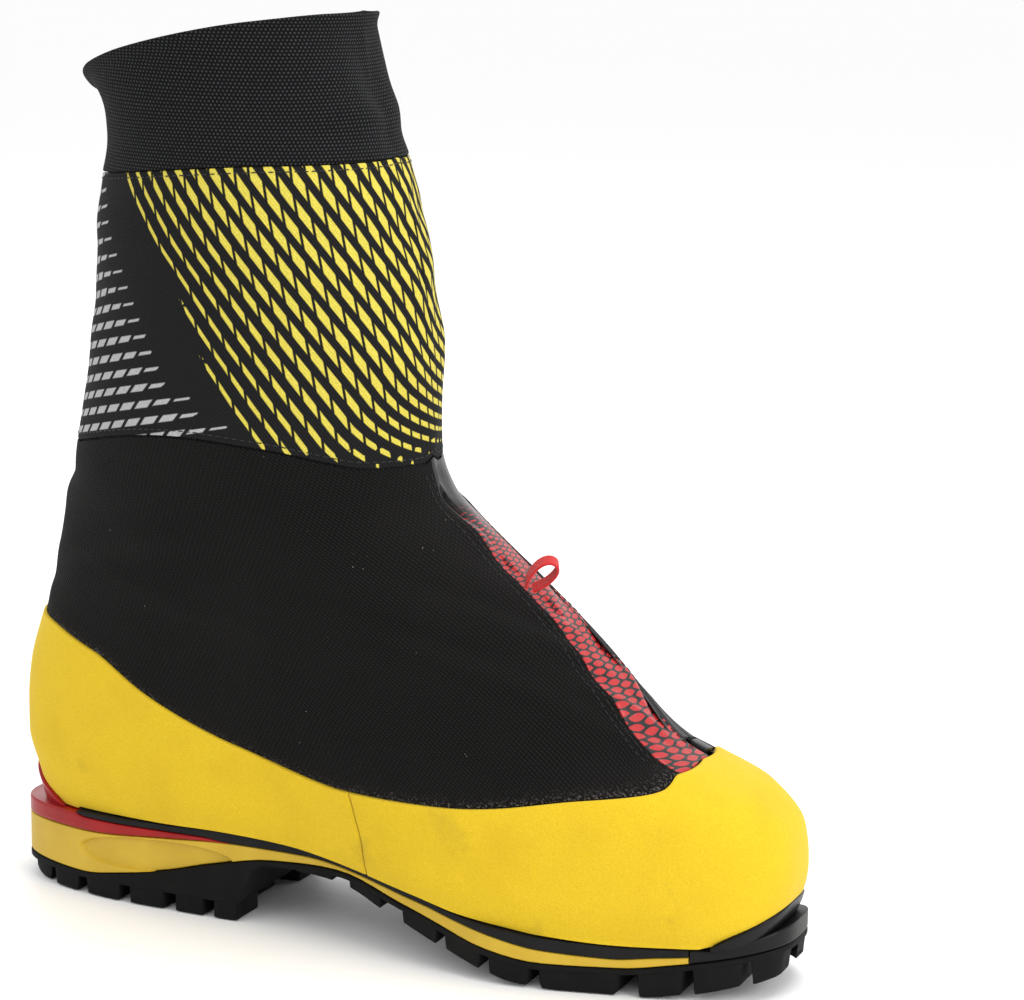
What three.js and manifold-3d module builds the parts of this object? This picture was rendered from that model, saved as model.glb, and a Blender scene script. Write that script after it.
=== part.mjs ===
// A left mountaineering boot: a laced, insulated inner boot inside a full gaiter, on a welted lug sole.
// Millimetres. +X runs from heel to toe, +Y towards the outer side of the foot, +Z up.
// The heel and the ball of the sole stand on Z = 0, and Y = 0 runs along the middle of the sole.
import * as THREE from "three";
import { mergeVertices } from "three/addons/utils/BufferGeometryUtils.js";
import Module from "manifold-3d";

const wasm = await Module();
wasm.setup();

// ---- Driving dimensions ----
const soleLength = 315; // back of the heel to the tip of the sole
const soleWidth = 105; // across the ball
const shaftHeight = 178; // ankle bend to the seam under the collar, at the front
const ankleHeight = 105; // height of the ankle bend above the ground
const collarHeightFront = 51;
const collarHeightBack = 31;

const gap = 0.3; // between pieces that are sewn or bonded together
const gaiterFabric = 1.2;
const printFilm = 1.0;
const collarKnit = 1.8;
const randOuter = 0.9; // how far the rand stands out of the gaiter's surface
const randInner = 1.5; // how far it reaches inside that surface

const treadDepth = 6.5; // height of a lug
const lugLean = 0.8; // how far a lug's walls lean in, from its root to the ground
const lugInset = 0.4; // from the side of the sole
const rubberBase = 2.2; // rubber left between the lugs
const boardThickness = 1.8;
const footbedThickness = 4;
const heelLedgeHeight = 31; // top of the crampon ledge at the heel
const toeLedge = { back: 129, low: 16.1, high: 26.1 }; // the crampon ledge at the toe slopes up to the tip
const cupHeight = 15; // how far the heel insert climbs up the rand
const bumperHeight = 9; // and the toe insert
const cupWall = 1.5;
const wedgeGroove = { back: -121, front: -52, low: 13.6, high: 26.2, depth: 1.6 }; // a lens in each side wall
const cupHalf = 0.26; // the cup's and the bumper's reach to each side, as shares of one side of the boot
const bumperHalf = 0.26;

const boardInset = 3.2; // inside the gaiter's surface
const innerBootInset = 4.2;
const quarterWall = 2.4;
const liningWall = 2.0;
const tonguePad = 4.0;
const stiffenerWall = 1.1;
const stiffenerGap = 0.65;
const counterHalf = 0.326; // the heel counter and the toe puff, as shares of one side of the boot
const puffHalf = 0.171;
const innerBootTop = 180;
const throatStart = 100; // height at which the inner boot's lacing starts
const throatHalf = 0.24; // half of the throat, as a share of one side of the boot
const cuffHeight = 16;
const tongueRise = 22; // how far the tongue stands above the inner boot
const laceDiameter = 3;
const laceRows = 4;
const laceLoop = { bore: 5.4, wall: 1.2, width: 6, rise: 5.8 }; // rise: middle of the bore above the quarter
const laceTail = { start: 181, length: 44, apart: 6.4, rise: 3 };
const cordLock = { width: 15, height: 15, depth: 11, bore: 3.8, cordDepth: -2.2, above: 9 };
const lockButton = { diameter: 7.2, pocket: 4.3, length: 4.6, travel: 2.4 };
const heelTab = { width: 16, length: 32, depth: 5.2, strap: 1.5, lowest: 168 };

const zipTape = 7; // width of one tape
const zipSlit = 1.6;
const zipTooth = 1.7; // width of one row of teeth
const tapeThickness = 0.9;
const slider = { width: 8.5, length: 12, plate: 1.3, post: 1.0, ear: 1.2, earLength: 4.4, pin: 1.4 };
const puller = { width: 7, length: 24, stem: 3.8, thickness: 1.8, hole: 3.4, bore: 2.0 };
const webbing = { width: 5, thickness: 1.1 };
const fingerLoop = { length: 15, opening: 6.2, height: 133, place: 0.885 };

// ---- Curves ----
const mix = (a, b, s) => a + (b - a) * s;
const always = (v) => () => v;
const clamp = (v, low, high) => Math.min(high, Math.max(low, v));
const smooth = (v) => {
  const s = clamp(v, 0, 1);
  return s * s * (3 - 2 * s);
};

// A smooth curve through the points, which never overshoots them and stays level past its ends.
function through(points) {
  const x = points.map((p) => p[0]);
  const y = points.map((p) => p[1]);
  const last = x.length - 1;
  const slope = (i) => (y[i + 1] - y[i]) / (x[i + 1] - x[i]);
  const tangent = y.map((_, i) => {
    if (i === 0) return slope(0);
    if (i === last) return slope(last - 1);
    const before = slope(i - 1);
    const after = slope(i);
    return before * after <= 0 ? 0 : (2 * before * after) / (before + after);
  });
  return (at) => {
    if (at <= x[0]) return y[0];
    if (at >= x[last]) return y[last];
    let i = 0;
    while (at > x[i + 1]) i++;
    const h = x[i + 1] - x[i];
    const s = (at - x[i]) / h;
    const value = y[i] * (1 + 2 * s) * (1 - s) ** 2 + y[i + 1] * s * s * (3 - 2 * s);
    return value + h * s * (1 - s) * (tangent[i] * (1 - s) - tangent[i + 1] * s);
  };
}

// ---- The shape of the boot ----
// The tables are drawn for this boot; a change of the driving dimensions stretches them.
const drawn = { length: 315, width: 105, shaft: 178, heel: -155 };
const heelEnd = drawn.heel;
const toeEnd = heelEnd + soleLength;
const stretchX = soleLength / drawn.length;
const stretchY = soleWidth / drawn.width;
const stretchShaft = shaftHeight / drawn.shaft;
const alongBoot = (x) => heelEnd + (x - drawn.heel) * stretchX;
const drawnX = (x) => drawn.heel + (x - heelEnd) / stretchX;
const drawnZ = (z) => (z < ankleHeight ? z : ankleHeight + (z - ankleHeight) / stretchShaft);
const upShaft = (z) => (z < ankleHeight ? z : ankleHeight + (z - ankleHeight) * stretchShaft);

// Gaiter, by height: where it starts behind the heel and ends at the front,
// and its half widths over the ball (inner and outer side) and over the heel.
const gaiterBack = through([
  [20, -140], [30, -144.6], [42, -148.5], [58, -154], [70, -154.2], [84, -152.8], [110, -145.2],
  [150, -135.2], [190, -126.4], [215, -122.6], [240, -119.6], [265, -117.6], [290, -114], [320, -117],
]);
const gaiterFront = through([
  [20, 150], [30, 155.1], [42, 157], [55, 156], [68, 146], [75, 130], [82, 113], [96, 97.4],
  [110, 82.7], [130, 58.7], [150, 33.5], [163, 19.5], [178, 14], [205, 14.2], [240, 9.6],
  [265, 5], [290, -3.9], [310, -11.3], [330, -15.3],
]);
const ballInner = through([[20, 44], [35, 47], [55, 48], [80, 46], [110, 44], [150, 46], [185, 50], [230, 50],
  [280, 48], [320, 46]]);
const ballOuter = through([[20, 50], [35, 54], [55, 53], [80, 50], [110, 47.5], [150, 48], [185, 50],
  [230, 50], [280, 48], [320, 46]]);
const heelHalf = through([[20, 30], [35, 34], [50, 37], [80, 40], [120, 43], [150, 46], [185, 50], [230, 50],
  [280, 48], [320, 46]]);
const squareness = through([[20, 0.62], [50, 0.66], [80, 0.75], [120, 0.85], [150, 0.92], [185, 1]]);
const waist = through([[20, 8], [35, 8], [80, 3], [120, 0]]);
const toeSwing = through([[20, -4], [80, -3], [150, 0]]); // the toes turn towards the other foot

// Half widths of the gaiter where its length share is u, at a drawn height: [inner side, outer side].
function gaiterHalves(height, u) {
  const ball = smooth((u - 0.15) / 0.5);
  const bow = (2 * Math.sqrt(clamp(u * (1 - u), 0, 1))) ** squareness(height);
  const swing = toeSwing(height) * clamp(2 * u - 1, 0, 1);
  const pinch = waist(height) * Math.exp(-(((u - 0.42) / 0.14) ** 2));
  const inner = mix(heelHalf(height), ballInner(height), ball) - pinch;
  const outer = mix(heelHalf(height), ballOuter(height), ball);
  return [(swing - inner * bow) * stretchY, (swing + outer * bow) * stretchY];
}

// A place round the boot runs from 0 at the back of the heel along the inner side to 1 at the toe,
// and along the outer side to 2 at the heel again. It is spaced more closely at the heel and toe.
function gaiterPoint(z, place) {
  const angle = Math.PI * (place - (0.75 * Math.sin(2 * Math.PI * place)) / (2 * Math.PI));
  const u = (1 - Math.cos(angle)) / 2;
  const height = drawnZ(z);
  const x = alongBoot(mix(gaiterBack(height), gaiterFront(height), u));
  const [inner, outer] = gaiterHalves(height, u);
  return new THREE.Vector3(x, Math.sin(angle) >= 0 ? inner : outer, z);
}

function directions(z, place, point = gaiterPoint) {
  const step = 0.004;
  const around = point(z, place + step).sub(point(z, place - step));
  const up = point(z + 1, place).sub(point(z - 1, place));
  const out = around.clone().cross(up).normalize();
  return { around: around.divideScalar(2 * step), up: up.normalize(), out };
}

const gaiterSkin = (z, place, offset = 0) =>
  gaiterPoint(z, place).addScaledVector(directions(z, place).out, offset);

// The inner boot follows the foot more closely than the gaiter: it stands back at the instep and the shaft.
function innerSkin(z, place, offset = 0) {
  const height = drawnZ(z);
  const fromToe = Math.abs(((place + 2) % 2) - 1);
  const atFront = smooth((0.8 - fromToe) / 0.5);
  const back = 6 * smooth((height - 105) / 45) + 9 * atFront * smooth((height - 80) / 20);
  return gaiterSkin(z, place, offset - innerBootInset - back);
}

// ---- Solids ----
// A closed body from its points and triangles, with its faces turned out.
function body(points, triangles) {
  let volume = 0;
  for (let i = 0; i < triangles.length; i += 3) {
    const [a, b, c] = [0, 1, 2].map((k) => points[triangles[i + k]]);
    volume += a.dot(b.clone().cross(c));
  }
  if (volume < 0) triangles.reverse();
  const geometry = new THREE.BufferGeometry().setFromPoints(points);
  return geometry.setIndex(triangles);
}

// A body through rings of points, closed at both ends by fans, so each end ring is convex.
function loft(rings) {
  const points = rings.flat();
  const n = rings[0].length;
  const triangles = [];
  for (let r = 0; r + 1 < rings.length; r++)
    for (let i = 0; i < n; i++) {
      const a = r * n + i;
      const b = r * n + ((i + 1) % n);
      triangles.push(a, b, b + n, a, b + n, a + n);
    }
  const end = points.length - n;
  for (let i = 1; i + 1 < n; i++) triangles.push(0, i + 1, i, end, end + i, end + i + 1);
  return body(points, triangles);
}

// A curved panel of the upper, between two offsets of a skin. Its sides are places by height, and its
// lower and upper edges are heights by place. A ring goes right round. No point sinks below the floor.
function panel({ skin = gaiterSkin, left, right, bottom, top, outer, inner, columns, rows, ring, floor }) {
  const across = ring ? columns : columns + 1;
  const count = across * (rows + 1);
  const points = [];
  for (const offset of [outer, inner])
    for (let j = 0; j <= rows; j++)
      for (let i = 0; i < across; i++) {
        let place = ring ? (2 * i) / columns : 1;
        let z = mix(bottom(place), top(place), j / rows);
        for (let turn = 0; turn < 6 && !ring; turn++) {
          place = mix(left(z), right(z), i / columns);
          z = mix(bottom(place), top(place), j / rows);
        }
        const point = skin(z, place, offset);
        if (floor) point.z = Math.max(point.z, floor(point.x) + 2 * gap);
        points.push(point);
      }
  const triangles = [];
  const quad = (a, b, c, d) => triangles.push(a, b, c, a, c, d);
  for (let i = 0; i < columns; i++) {
    const next = (i + 1) % across;
    for (let j = 0; j < rows; j++) {
      const [a, b] = [j * across + i, j * across + next];
      quad(a, b, b + across, a + across);
      triangles.push(count + a, count + b + across, count + b);
      triangles.push(count + a, count + a + across, count + b + across);
    }
    const high = rows * across;
    quad(next, i, count + i, count + next);
    quad(high + i, high + next, count + high + next, count + high + i);
  }
  for (let j = 0; j < rows && !ring; j++) {
    const [a, b] = [j * across, j * across + columns];
    quad(a, a + across, count + a + across, count + a);
    quad(b + across, b, count + b, count + b + across);
  }
  return body(points, triangles);
}

// A layer of the sole between two height profiles. Its outline is a function of x that gives both sides.
function slab({ stations, bottom, top, outline }) {
  return loft(stations.map((x) => {
    const [inner, outer] = outline(x);
    return [[inner, bottom(x)], [outer, bottom(x)], [outer, top(x)], [inner, top(x)]]
      .map(([y, z]) => new THREE.Vector3(x, y, z));
  }));
}

const solidOf = (geometry) => {
  const plain = geometry.clone();
  for (const name of ["normal", "uv"]) plain.deleteAttribute(name);
  const merged = mergeVertices(plain, 1e-3);
  const vertProperties = new Float32Array(merged.getAttribute("position").array);
  const triVerts = new Uint32Array(merged.index.array);
  return new wasm.Manifold(new wasm.Mesh({ numProp: 3, vertProperties, triVerts }));
};
const geometryOf = (solid) => {
  const { vertProperties, triVerts } = solid.getMesh();
  const geometry = new THREE.BufferGeometry();
  geometry.setAttribute("position", new THREE.BufferAttribute(vertProperties, 3));
  return geometry.setIndex(new THREE.BufferAttribute(triVerts, 1));
};
const joined = (...pieces) => geometryOf(pieces.map(solidOf).reduce((a, b) => a.add(b)));
const cut = (piece, ...tools) =>
  geometryOf(tools.map(solidOf).reduce((a, b) => a.subtract(b), solidOf(piece)));

const group = new THREE.Group();
function add(name, geometry, color, roughness = 0.8, metalness = 0) {
  const material = new THREE.MeshStandardMaterial({ color, roughness, metalness });
  const mesh = new THREE.Mesh(geometry, material);
  mesh.name = name;
  group.add(mesh);
  return mesh;
}

const yellow = 0xe8c32a;
const blackRubber = 0x17171a;
const blackPlastic = 0x1d1d20;
const redPlastic = 0xc01a22;
const blackFabric = 0x1b1a1a;
const knit = 0x26262a;
const film = 0x2a2022;

// ---- Sole ----
// Half widths of the sole from its middle line, by its length share, before the ends are rounded.
const soleInner = through([[0, 36], [0.12, 36], [0.25, 33], [0.42, 30], [0.58, 42], [0.7, 49], [0.82, 46],
  [1, 44]]);
const soleOuter = through([[0, 38], [0.12, 38], [0.25, 38], [0.42, 42], [0.58, 52], [0.7, 56], [0.82, 52],
  [1, 36]]);
const soleSquareness = 0.62;
function soleOutline(x, inset = 0) {
  const u = clamp((x - heelEnd) / soleLength, 0, 1);
  const bow = (2 * Math.sqrt(u * (1 - u))) ** soleSquareness;
  return [(inset - soleInner(u) * stretchY) * bow, (soleOuter(u) * stretchY - inset) * bow];
}
const profile = (points) => {
  const curve = through(points);
  return (x) => curve(drawnX(x));
};
// Heights of the sole's layers along the boot.
const tread = profile([[-155, 4], [-141, 0], [-48, 0], [-30, 23], [-8, 22], [18, 15.5], [33, 11], [50, 6],
  [68, 1.2], [84, 0], [110, 0], [133, 2.8], [153, 7.1], [160, 8.6]]);
const rubberTop = profile([[-155, 9.5], [-120, 8.2], [-100, 11], [-82, 14.5], [-62, 20], [-37, 25.2],
  [-8, 26.4], [23, 20.8], [38, 17], [56, 12], [78, 9], [105, 9.7], [123, 12.2], [138, 14.7], [160, 19]]);
const wedgeTop = profile([[-155, 24.4], [-120, 24.6], [-82, 27.4], [-53, 29.4], [-24, 29.2], [-8, 28.2],
  [28, 23.4], [47, 19.4], [60, 16.8], [78, 13.8], [102, 12.9], [116, 14.4], [129, 15.6]]);
const frameTop = profile([[-155, 31.3], [-135, 31.3], [-120, 31.9], [-82, 32.9], [-57, 33.8], [-30, 32.9],
  [-10, 31], [28, 26], [47, 22], [64, 19.8], [79, 18.4], [101, 17.8], [127, 18.4]]);
const heelInsertTop = profile([[-155, heelLedgeHeight], [-124, heelLedgeHeight], [-118, 30], [-54, 30.6]]);
const drawnToe = drawn.heel + drawn.length;
const toePlane = (x) =>
  mix(toeLedge.low, toeLedge.high, (drawnX(x) - toeLedge.back) / (drawnToe - toeLedge.back));
const insertEnd = alongBoot(-54);
const insertFade = 12; // the frame comes down to the wedge this far past the heel insert
const frameBack = alongBoot(-122);
const wedgeEnd = alongBoot(128.4);
const toeInsertBack = alongBoot(toeLedge.back);
// What the upper and the inner boot stand on.
function seat(x) {
  if (x < frameBack) return heelLedgeHeight;
  return x < toeInsertBack ? frameTop(x) : Math.max(frameTop(x), toePlane(x));
}

// Every layer of the sole is cut at the same stations, so that layers lie flat on each other.
const roundEnd = [0.0035, 0.014, 0.034, 0.062]; // shares of the length, where the ends turn in
const stationCount = 34;
const evenly = Array.from({ length: stationCount }, (_, i) => mix(0.09, 0.91, i / (stationCount - 1)));
const soleStations = [...roundEnd, ...evenly, ...roundEnd.map((u) => 1 - u)]
  .map((u) => heelEnd + u * soleLength)
  .concat(frameBack, insertEnd, wedgeEnd, toeInsertBack)
  .sort((a, b) => a - b);
const between = (from, to) => soleStations.filter((x) => x >= from && x <= to);

// One block of the tread, on the inner side where side is -1: its walls lean in towards the ground.
// Depth is how far it lies inside the sole's outline.
function lug(x0, x1, side, depth, width) {
  const intoBase = 0.8;
  const rings = [];
  for (const [x, shift] of [[x0, lugLean], [mix(x0, x1, 0.5), 0], [x1, -lugLean]]) {
    const [inner, outer] = soleOutline(x);
    const near = (side < 0 ? inner : outer) - side * (lugInset + depth);
    const far = near - side * width;
    const low = tread(x);
    const high = rubberTop(x) - rubberBase + intoBase;
    rings.push([
      new THREE.Vector3(x + shift, near - side * lugLean, low),
      new THREE.Vector3(x + shift, far + side * lugLean, low),
      new THREE.Vector3(x, far, high),
      new THREE.Vector3(x, near, high),
    ]);
  }
  return loft(rings);
}

function outsole() {
  const breast = { back: alongBoot(-50), front: alongBoot(-43) };
  const grooveFloor = (x) => {
    const arch = rubberTop(x) - rubberBase;
    const pastBreast = smooth((x - breast.back) / (breast.front - breast.back));
    return Math.min(arch, mix(treadDepth, arch, pastBreast));
  };
  const base = slab({ stations: soleStations, bottom: grooveFloor, top: rubberTop, outline: soleOutline });
  const heelRows = [[-149, -137], [-134.5, -121], [-118, -101], [-98, -81], [-78, -64], [-61.5, -50]];
  const archRows = [[-27, -10], [-3, 13]];
  const ballRows = [[22, 38], [40.5, 56], [58.5, 74], [77, 105]];
  const toeRows = [[111, 127], [129.5, 146], [148, 157]];
  const pieces = [];
  // Columns: side, distance from the outline, and width.
  const place = (rows, columns) => {
    for (const [x0, x1] of rows)
      for (const column of columns) pieces.push(lug(alongBoot(x0), alongBoot(x1), ...column));
  };
  place(heelRows.slice(1), [[-1, 0, 17], [1, 0, 17]]);
  place(heelRows.slice(0, 1), [[-1, 0, 9], [1, 0, 9]]);
  place(archRows, [[-1, 0, 12], [1, 0, 14]]);
  place(ballRows, [[-1, 0, 20], [1, 0, 22]]);
  place(toeRows.slice(0, 2), [[-1, 0, 18], [1, 0, 18]]);
  place(toeRows.slice(2), [[-1, 0, 9], [1, 0, 9]]);
  place([[-130, -112], [-106, -88], [-82, -56]], [[-1, 23, 12]]);
  place([[30, 46], [50, 66], [70, 86], [90, 103]], [[-1, 24, 13], [1, 27, 13]]);
  place([[112, 124], [128, 140]], [[-1, 23, 18]]);
  return joined(base, ...pieces);
}

// A long lens-shaped recess in the inner and outer side walls of the wedge, under the heel.
function wedgeRecess(side) {
  const { low, high, depth } = wedgeGroove;
  const blunt = alongBoot(wedgeGroove.back);
  const middle = alongBoot(mix(wedgeGroove.back, wedgeGroove.front, 0.44));
  const tip = [alongBoot(wedgeGroove.front), high - 0.8];
  const outline = new THREE.Shape();
  outline.moveTo(...tip);
  outline.quadraticCurveTo(middle, high, blunt, mix(low, high, 0.65));
  outline.quadraticCurveTo(blunt - 4, mix(low, high, 0.27), blunt + 6, low);
  outline.quadraticCurveTo(middle, low + 1, ...tip);
  const reach = 20;
  const options = { depth: reach, bevelEnabled: false, curveSegments: 8 };
  const geometry = new THREE.ExtrudeGeometry(outline, options);
  geometry.rotateX(Math.PI / 2);
  const wall = Math.abs(soleOutline(middle)[side < 0 ? 0 : 1]) - depth;
  geometry.translate(0, side < 0 ? -wall : wall + reach, 0);
  return geometry;
}

function heelInsert() {
  const ledge = slab({
    stations: between(heelEnd, insertEnd), bottom: (x) => wedgeTop(x) + gap, top: heelInsertTop,
    outline: soleOutline,
  });
  const cup = panel({
    left: always(-cupHalf), right: always(cupHalf), bottom: always(heelLedgeHeight - 1),
    top: (place) => heelLedgeHeight + 1 + cupHeight * Math.cos((place / cupHalf) * (Math.PI / 2)) ** 0.8,
    outer: randOuter + gap + cupWall, inner: randOuter + gap, columns: 14, rows: 4,
  });
  return joined(ledge, cup);
}

function toeInsert() {
  const ledge = slab({
    stations: between(toeInsertBack, toeEnd), bottom: (x) => rubberTop(x) + gap, top: toePlane,
    outline: soleOutline,
  });
  const base = (place) => toePlane(gaiterPoint(28, place).x) - 1;
  const bumper = panel({
    left: always(1 - bumperHalf), right: always(1 + bumperHalf),
    bottom: base,
    top: (place) =>
      base(place) + 1.4 + bumperHeight * Math.cos(((place - 1) / bumperHalf) * (Math.PI / 2)) ** 0.45,
    outer: randOuter + gap + cupWall, inner: randOuter + gap, columns: 14, rows: 3,
  });
  return joined(ledge, bumper);
}

add("outsole", outsole(), blackRubber, 0.75);
const wedgeSlab = slab({
  stations: between(heelEnd, wedgeEnd), outline: soleOutline,
  bottom: (x) => rubberTop(x) + gap, top: wedgeTop,
});
add("midsole_wedge", cut(wedgeSlab, wedgeRecess(-1), wedgeRecess(1)), yellow, 0.6);
add("welt_frame", slab({
  stations: between(frameBack, wedgeEnd), top: frameTop, outline: soleOutline,
  bottom: (x) => Math.max(wedgeTop(x), x < insertEnd + insertFade ? heelInsertTop(x) : 0) + gap,
}), blackPlastic, 0.5);
add("heel_insert", heelInsert(), redPlastic, 0.3);
add("toe_insert", toeInsert(), blackPlastic, 0.35);

// ---- Gaiter ----
const byPlace = (points) => {
  const curve = through(points);
  return (place) => curve(place <= 1 ? Math.abs(place) : 2 - place);
};
const randTop = byPlace([[0, 107], [0.259, 104], [0.355, 97], [0.409, 83], [0.45, 70], [0.502, 60.5],
  [0.55, 61.5],
  [0.631, 69], [0.72, 73], [0.8, 77], [1, 78]]);
const printEdge = byPlace([[0, 173], [0.271, 175], [0.49, 185], [0.56, 183], [0.7, 175.5], [0.876, 175],
  [1, 177]]);
const collarEdge = byPlace([[0, 271], [0.33, 275], [0.6, 281.5], [1, 283]]);
const printBottom = (place) => upShaft(printEdge(place));
const collarSeam = (place) => upShaft(collarEdge(place));
const rim = (place) => collarSeam(place)
  + mix(collarHeightBack, collarHeightFront, smooth((1 - Math.abs(place - 1)) / 0.75));
// Edge between the gaiter and the instep panel, and the line of the zip on the outer side, by height.
const byHeight = (points) => {
  const curve = through(points);
  return (z) => curve(drawnZ(z));
};
const panelEdge = byHeight([[70, 0.8], [105, 0.836], [132, 0.895], [150, 0.925], [165, 0.955], [180, 0.96]]);
const zipPlace = byHeight([[76, 1.16], [105, 1.22], [135, 1.29], [160, 1.345], [185, 1.37], [285, 1.37]]);
const zipHalf = zipTape + zipSlit / 2 + 5 * gap;
function besideZip(side) {
  return (z) => {
    const { around } = directions(z, zipPlace(z));
    const along = gaiterPoint(z + 1, zipPlace(z + 1)).sub(gaiterPoint(z - 1, zipPlace(z - 1))).normalize();
    const slant = along.cross(around.clone().normalize()).length(); // the zip crosses each height at a slant
    return zipPlace(z) + (side * zipHalf) / slant / around.length();
  };
}
const randSeam = 0.503;
const seamHalf = gap / 240; // as a share of one side of the boot
const onSeat = { floor: seat };

function gaiterPanel(options) {
  return panel({ outer: 0, inner: -gaiterFabric, ...options });
}

const seatRow = (place) => seat(gaiterPoint(30, place).x) + 2 * gap;
add("heel_rand", panel({
  left: always(-randSeam), right: always(randSeam - 2 * seamHalf), bottom: seatRow, top: randTop,
  outer: randOuter, inner: -randInner, columns: 48, rows: 6, ...onSeat,
}), yellow, 0.9);
add("toe_rand", panel({
  left: always(randSeam), right: always(2 - randSeam - 2 * seamHalf), bottom: seatRow, top: randTop,
  outer: randOuter, inner: -randInner, columns: 44, rows: 7, ...onSeat,
}), yellow, 0.9);
const aboveRand = (place) => randTop(place) + 3 * gap;
const underPrint = (place) => printBottom(place) - 2 * gap * (shaftHeight / drawn.shaft) ** 2;
add("gaiter_inner_side", gaiterPanel({
  left: always(seamHalf), right: (z) => panelEdge(z) - seamHalf, bottom: aboveRand, top: underPrint,
  columns: 34, rows: 16,
}), blackFabric, 0.9);
add("gaiter_outer_side", gaiterPanel({
  left: besideZip(1), right: always(2 - seamHalf), bottom: aboveRand, top: underPrint, columns: 32, rows: 8,
}), blackFabric, 0.9);
add("instep_panel", gaiterPanel({
  left: (z) => panelEdge(z) + seamHalf, right: besideZip(-1), bottom: aboveRand, top: underPrint,
  inner: -printFilm, columns: 8, rows: 16,
}), film, 0.3);
add("shaft_panel_inner_side", gaiterPanel({
  left: always(seamHalf), right: besideZip(-1), bottom: printBottom, top: collarSeam, inner: -printFilm,
  columns: 20, rows: 5,
}), 0xcfc24a, 0.5);
add("shaft_panel_outer_side", gaiterPanel({
  left: besideZip(1), right: always(2 - seamHalf), bottom: printBottom, top: collarSeam, inner: -printFilm,
  columns: 10, rows: 5,
}), 0x2c2c30, 0.5);
add("collar", panel({
  bottom: (place) => collarSeam(place) + gap, top: rim, outer: 0.3, inner: 0.3 - collarKnit,
  columns: 32, rows: 4, ring: true,
}), knit, 0.95);
add("collar_elastic", panel({
  bottom: (place) => rim(place) - 12, top: (place) => rim(place) - 3, outer: 0.3 - collarKnit - gap,
  inner: -collarKnit - gap - 0.9, columns: 32, rows: 1, ring: true,
}), 0x111114, 0.9);

// ---- Zip ----
// The zip's line: straight beside the shaft, then over the instep to the rand.
const zipTopZ = collarSeam(1.37) - 5;
const zipBendZ = upShaft(188);
const zipTopPoint = gaiterPoint(zipTopZ, zipPlace(zipTopZ));
const zipBendPoint = gaiterPoint(zipBendZ, zipPlace(zipBendZ));
const zipBottomZ = randTop(1.16) + 4;

// Stations along the zip: a point, the way out of the boot, and the way towards the heel.
function zipRoute(top, bottom, count) {
  const route = [];
  for (let i = 0; i <= count; i++) {
    const z = mix(top, bottom, i / count);
    const straight = z >= zipBendZ;
    const { out, around } = directions(straight ? mix(zipTopZ, zipBendZ, 0.5) : z, zipPlace(z));
    const point = straight
      ? zipTopPoint.clone().lerp(zipBendPoint, (zipTopZ - z) / (zipTopZ - zipBendZ))
      : gaiterPoint(z, zipPlace(z));
    route.push({ point, out, side: around.normalize() });
  }
  for (const [i, station] of route.entries()) {
    const [before, after] = [route[Math.max(i - 1, 0)], route[Math.min(i + 1, count)]];
    const ahead = after.point.clone().sub(before.point).normalize();
    station.side.addScaledVector(ahead, -station.side.dot(ahead)).normalize();
    station.out = ahead.clone().cross(station.side).normalize();
    if (station.out.dot(directions(zipTopZ, zipPlace(zipTopZ)).out) < -0.2) station.out.negate();
  }
  return route;
}

// A strip along the route, between two distances to the side and two heights out of the boot.
const strip = (route, side0, side1, low, high) =>
  loft(route.map(({ point, side, out }) => [[side0, low], [side1, low], [side1, high], [side0, high]]
    .map(([s, h]) => point.clone().addScaledVector(side, s).addScaledVector(out, h))));

// Heights out of the gaiter's surface.
const wholeZip = zipRoute(zipTopZ, zipBottomZ, 26);
const tapeHigh = -0.1;
const tapeLow = tapeHigh - tapeThickness;
const toothHigh = tapeLow - gap;
const toothLow = toothHigh - 1.6;
for (const [name, side] of [["front", -1], ["rear", 1]]) {
  const edge = (zipSlit / 2) * side;
  add("zip_tape_" + name,
    strip(wholeZip, edge, edge + side * (zipTape - gap), tapeLow, tapeHigh), 0x202024, 0.6);
  add("zip_teeth_" + name,
    strip(wholeZip.slice(1), edge, edge + side * zipTooth, toothLow, toothHigh), 0x0e0e10, 0.4);
}
const stopRoute = zipRoute(zipBottomZ - 0.5, zipBottomZ - 3, 1);
const stopHalf = zipSlit / 2 + zipTooth + 0.9;
add("zip_bottom_stop", strip(stopRoute, -stopHalf, stopHalf, tapeLow - 1.4, tapeHigh), 0x2a2a2e, 0.4);

// The slider's plates lie over and under the teeth, joined by a post in the slit. Its own axes are
// the strip's: across the zip, down it, and out of the boot.
const sliderAt = zipRoute(zipTopZ, zipBendZ, 8)[1];
const down = zipBendPoint.clone().sub(zipTopPoint).normalize();
const across = sliderAt.side.clone().addScaledVector(down, -sliderAt.side.dot(down)).normalize();
const outward = across.clone().cross(down).normalize();
if (outward.dot(sliderAt.out) < 0) outward.negate();
const sliderFrame = new THREE.Matrix4().makeBasis(across, down, across.clone().cross(down))
  .setPosition(zipTopPoint.clone().addScaledVector(down, 2 + slider.length / 2));
const outSign = Math.sign(across.clone().cross(down).dot(outward));
function block(width, length, low, high, centre = 0, away = 0) {
  const box = new THREE.BoxGeometry(width, length, high - low);
  return box.translate(centre, away, (outSign * (low + high)) / 2);
}
const plateLow = 0.5;
const pinHeight = plateLow + slider.plate + 2.4;
const pinPlace = -1; // along the slider, from its middle
const earHigh = pinHeight + slider.pin;
const earPlace = puller.stem / 2 + slider.ear / 2 + gap + 0.1;
const acrossPin = (radius, length, sides) =>
  new THREE.CylinderGeometry(radius, radius, length, sides).rotateZ(Math.PI / 2)
    .translate(0, pinPlace, outSign * pinHeight);
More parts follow.
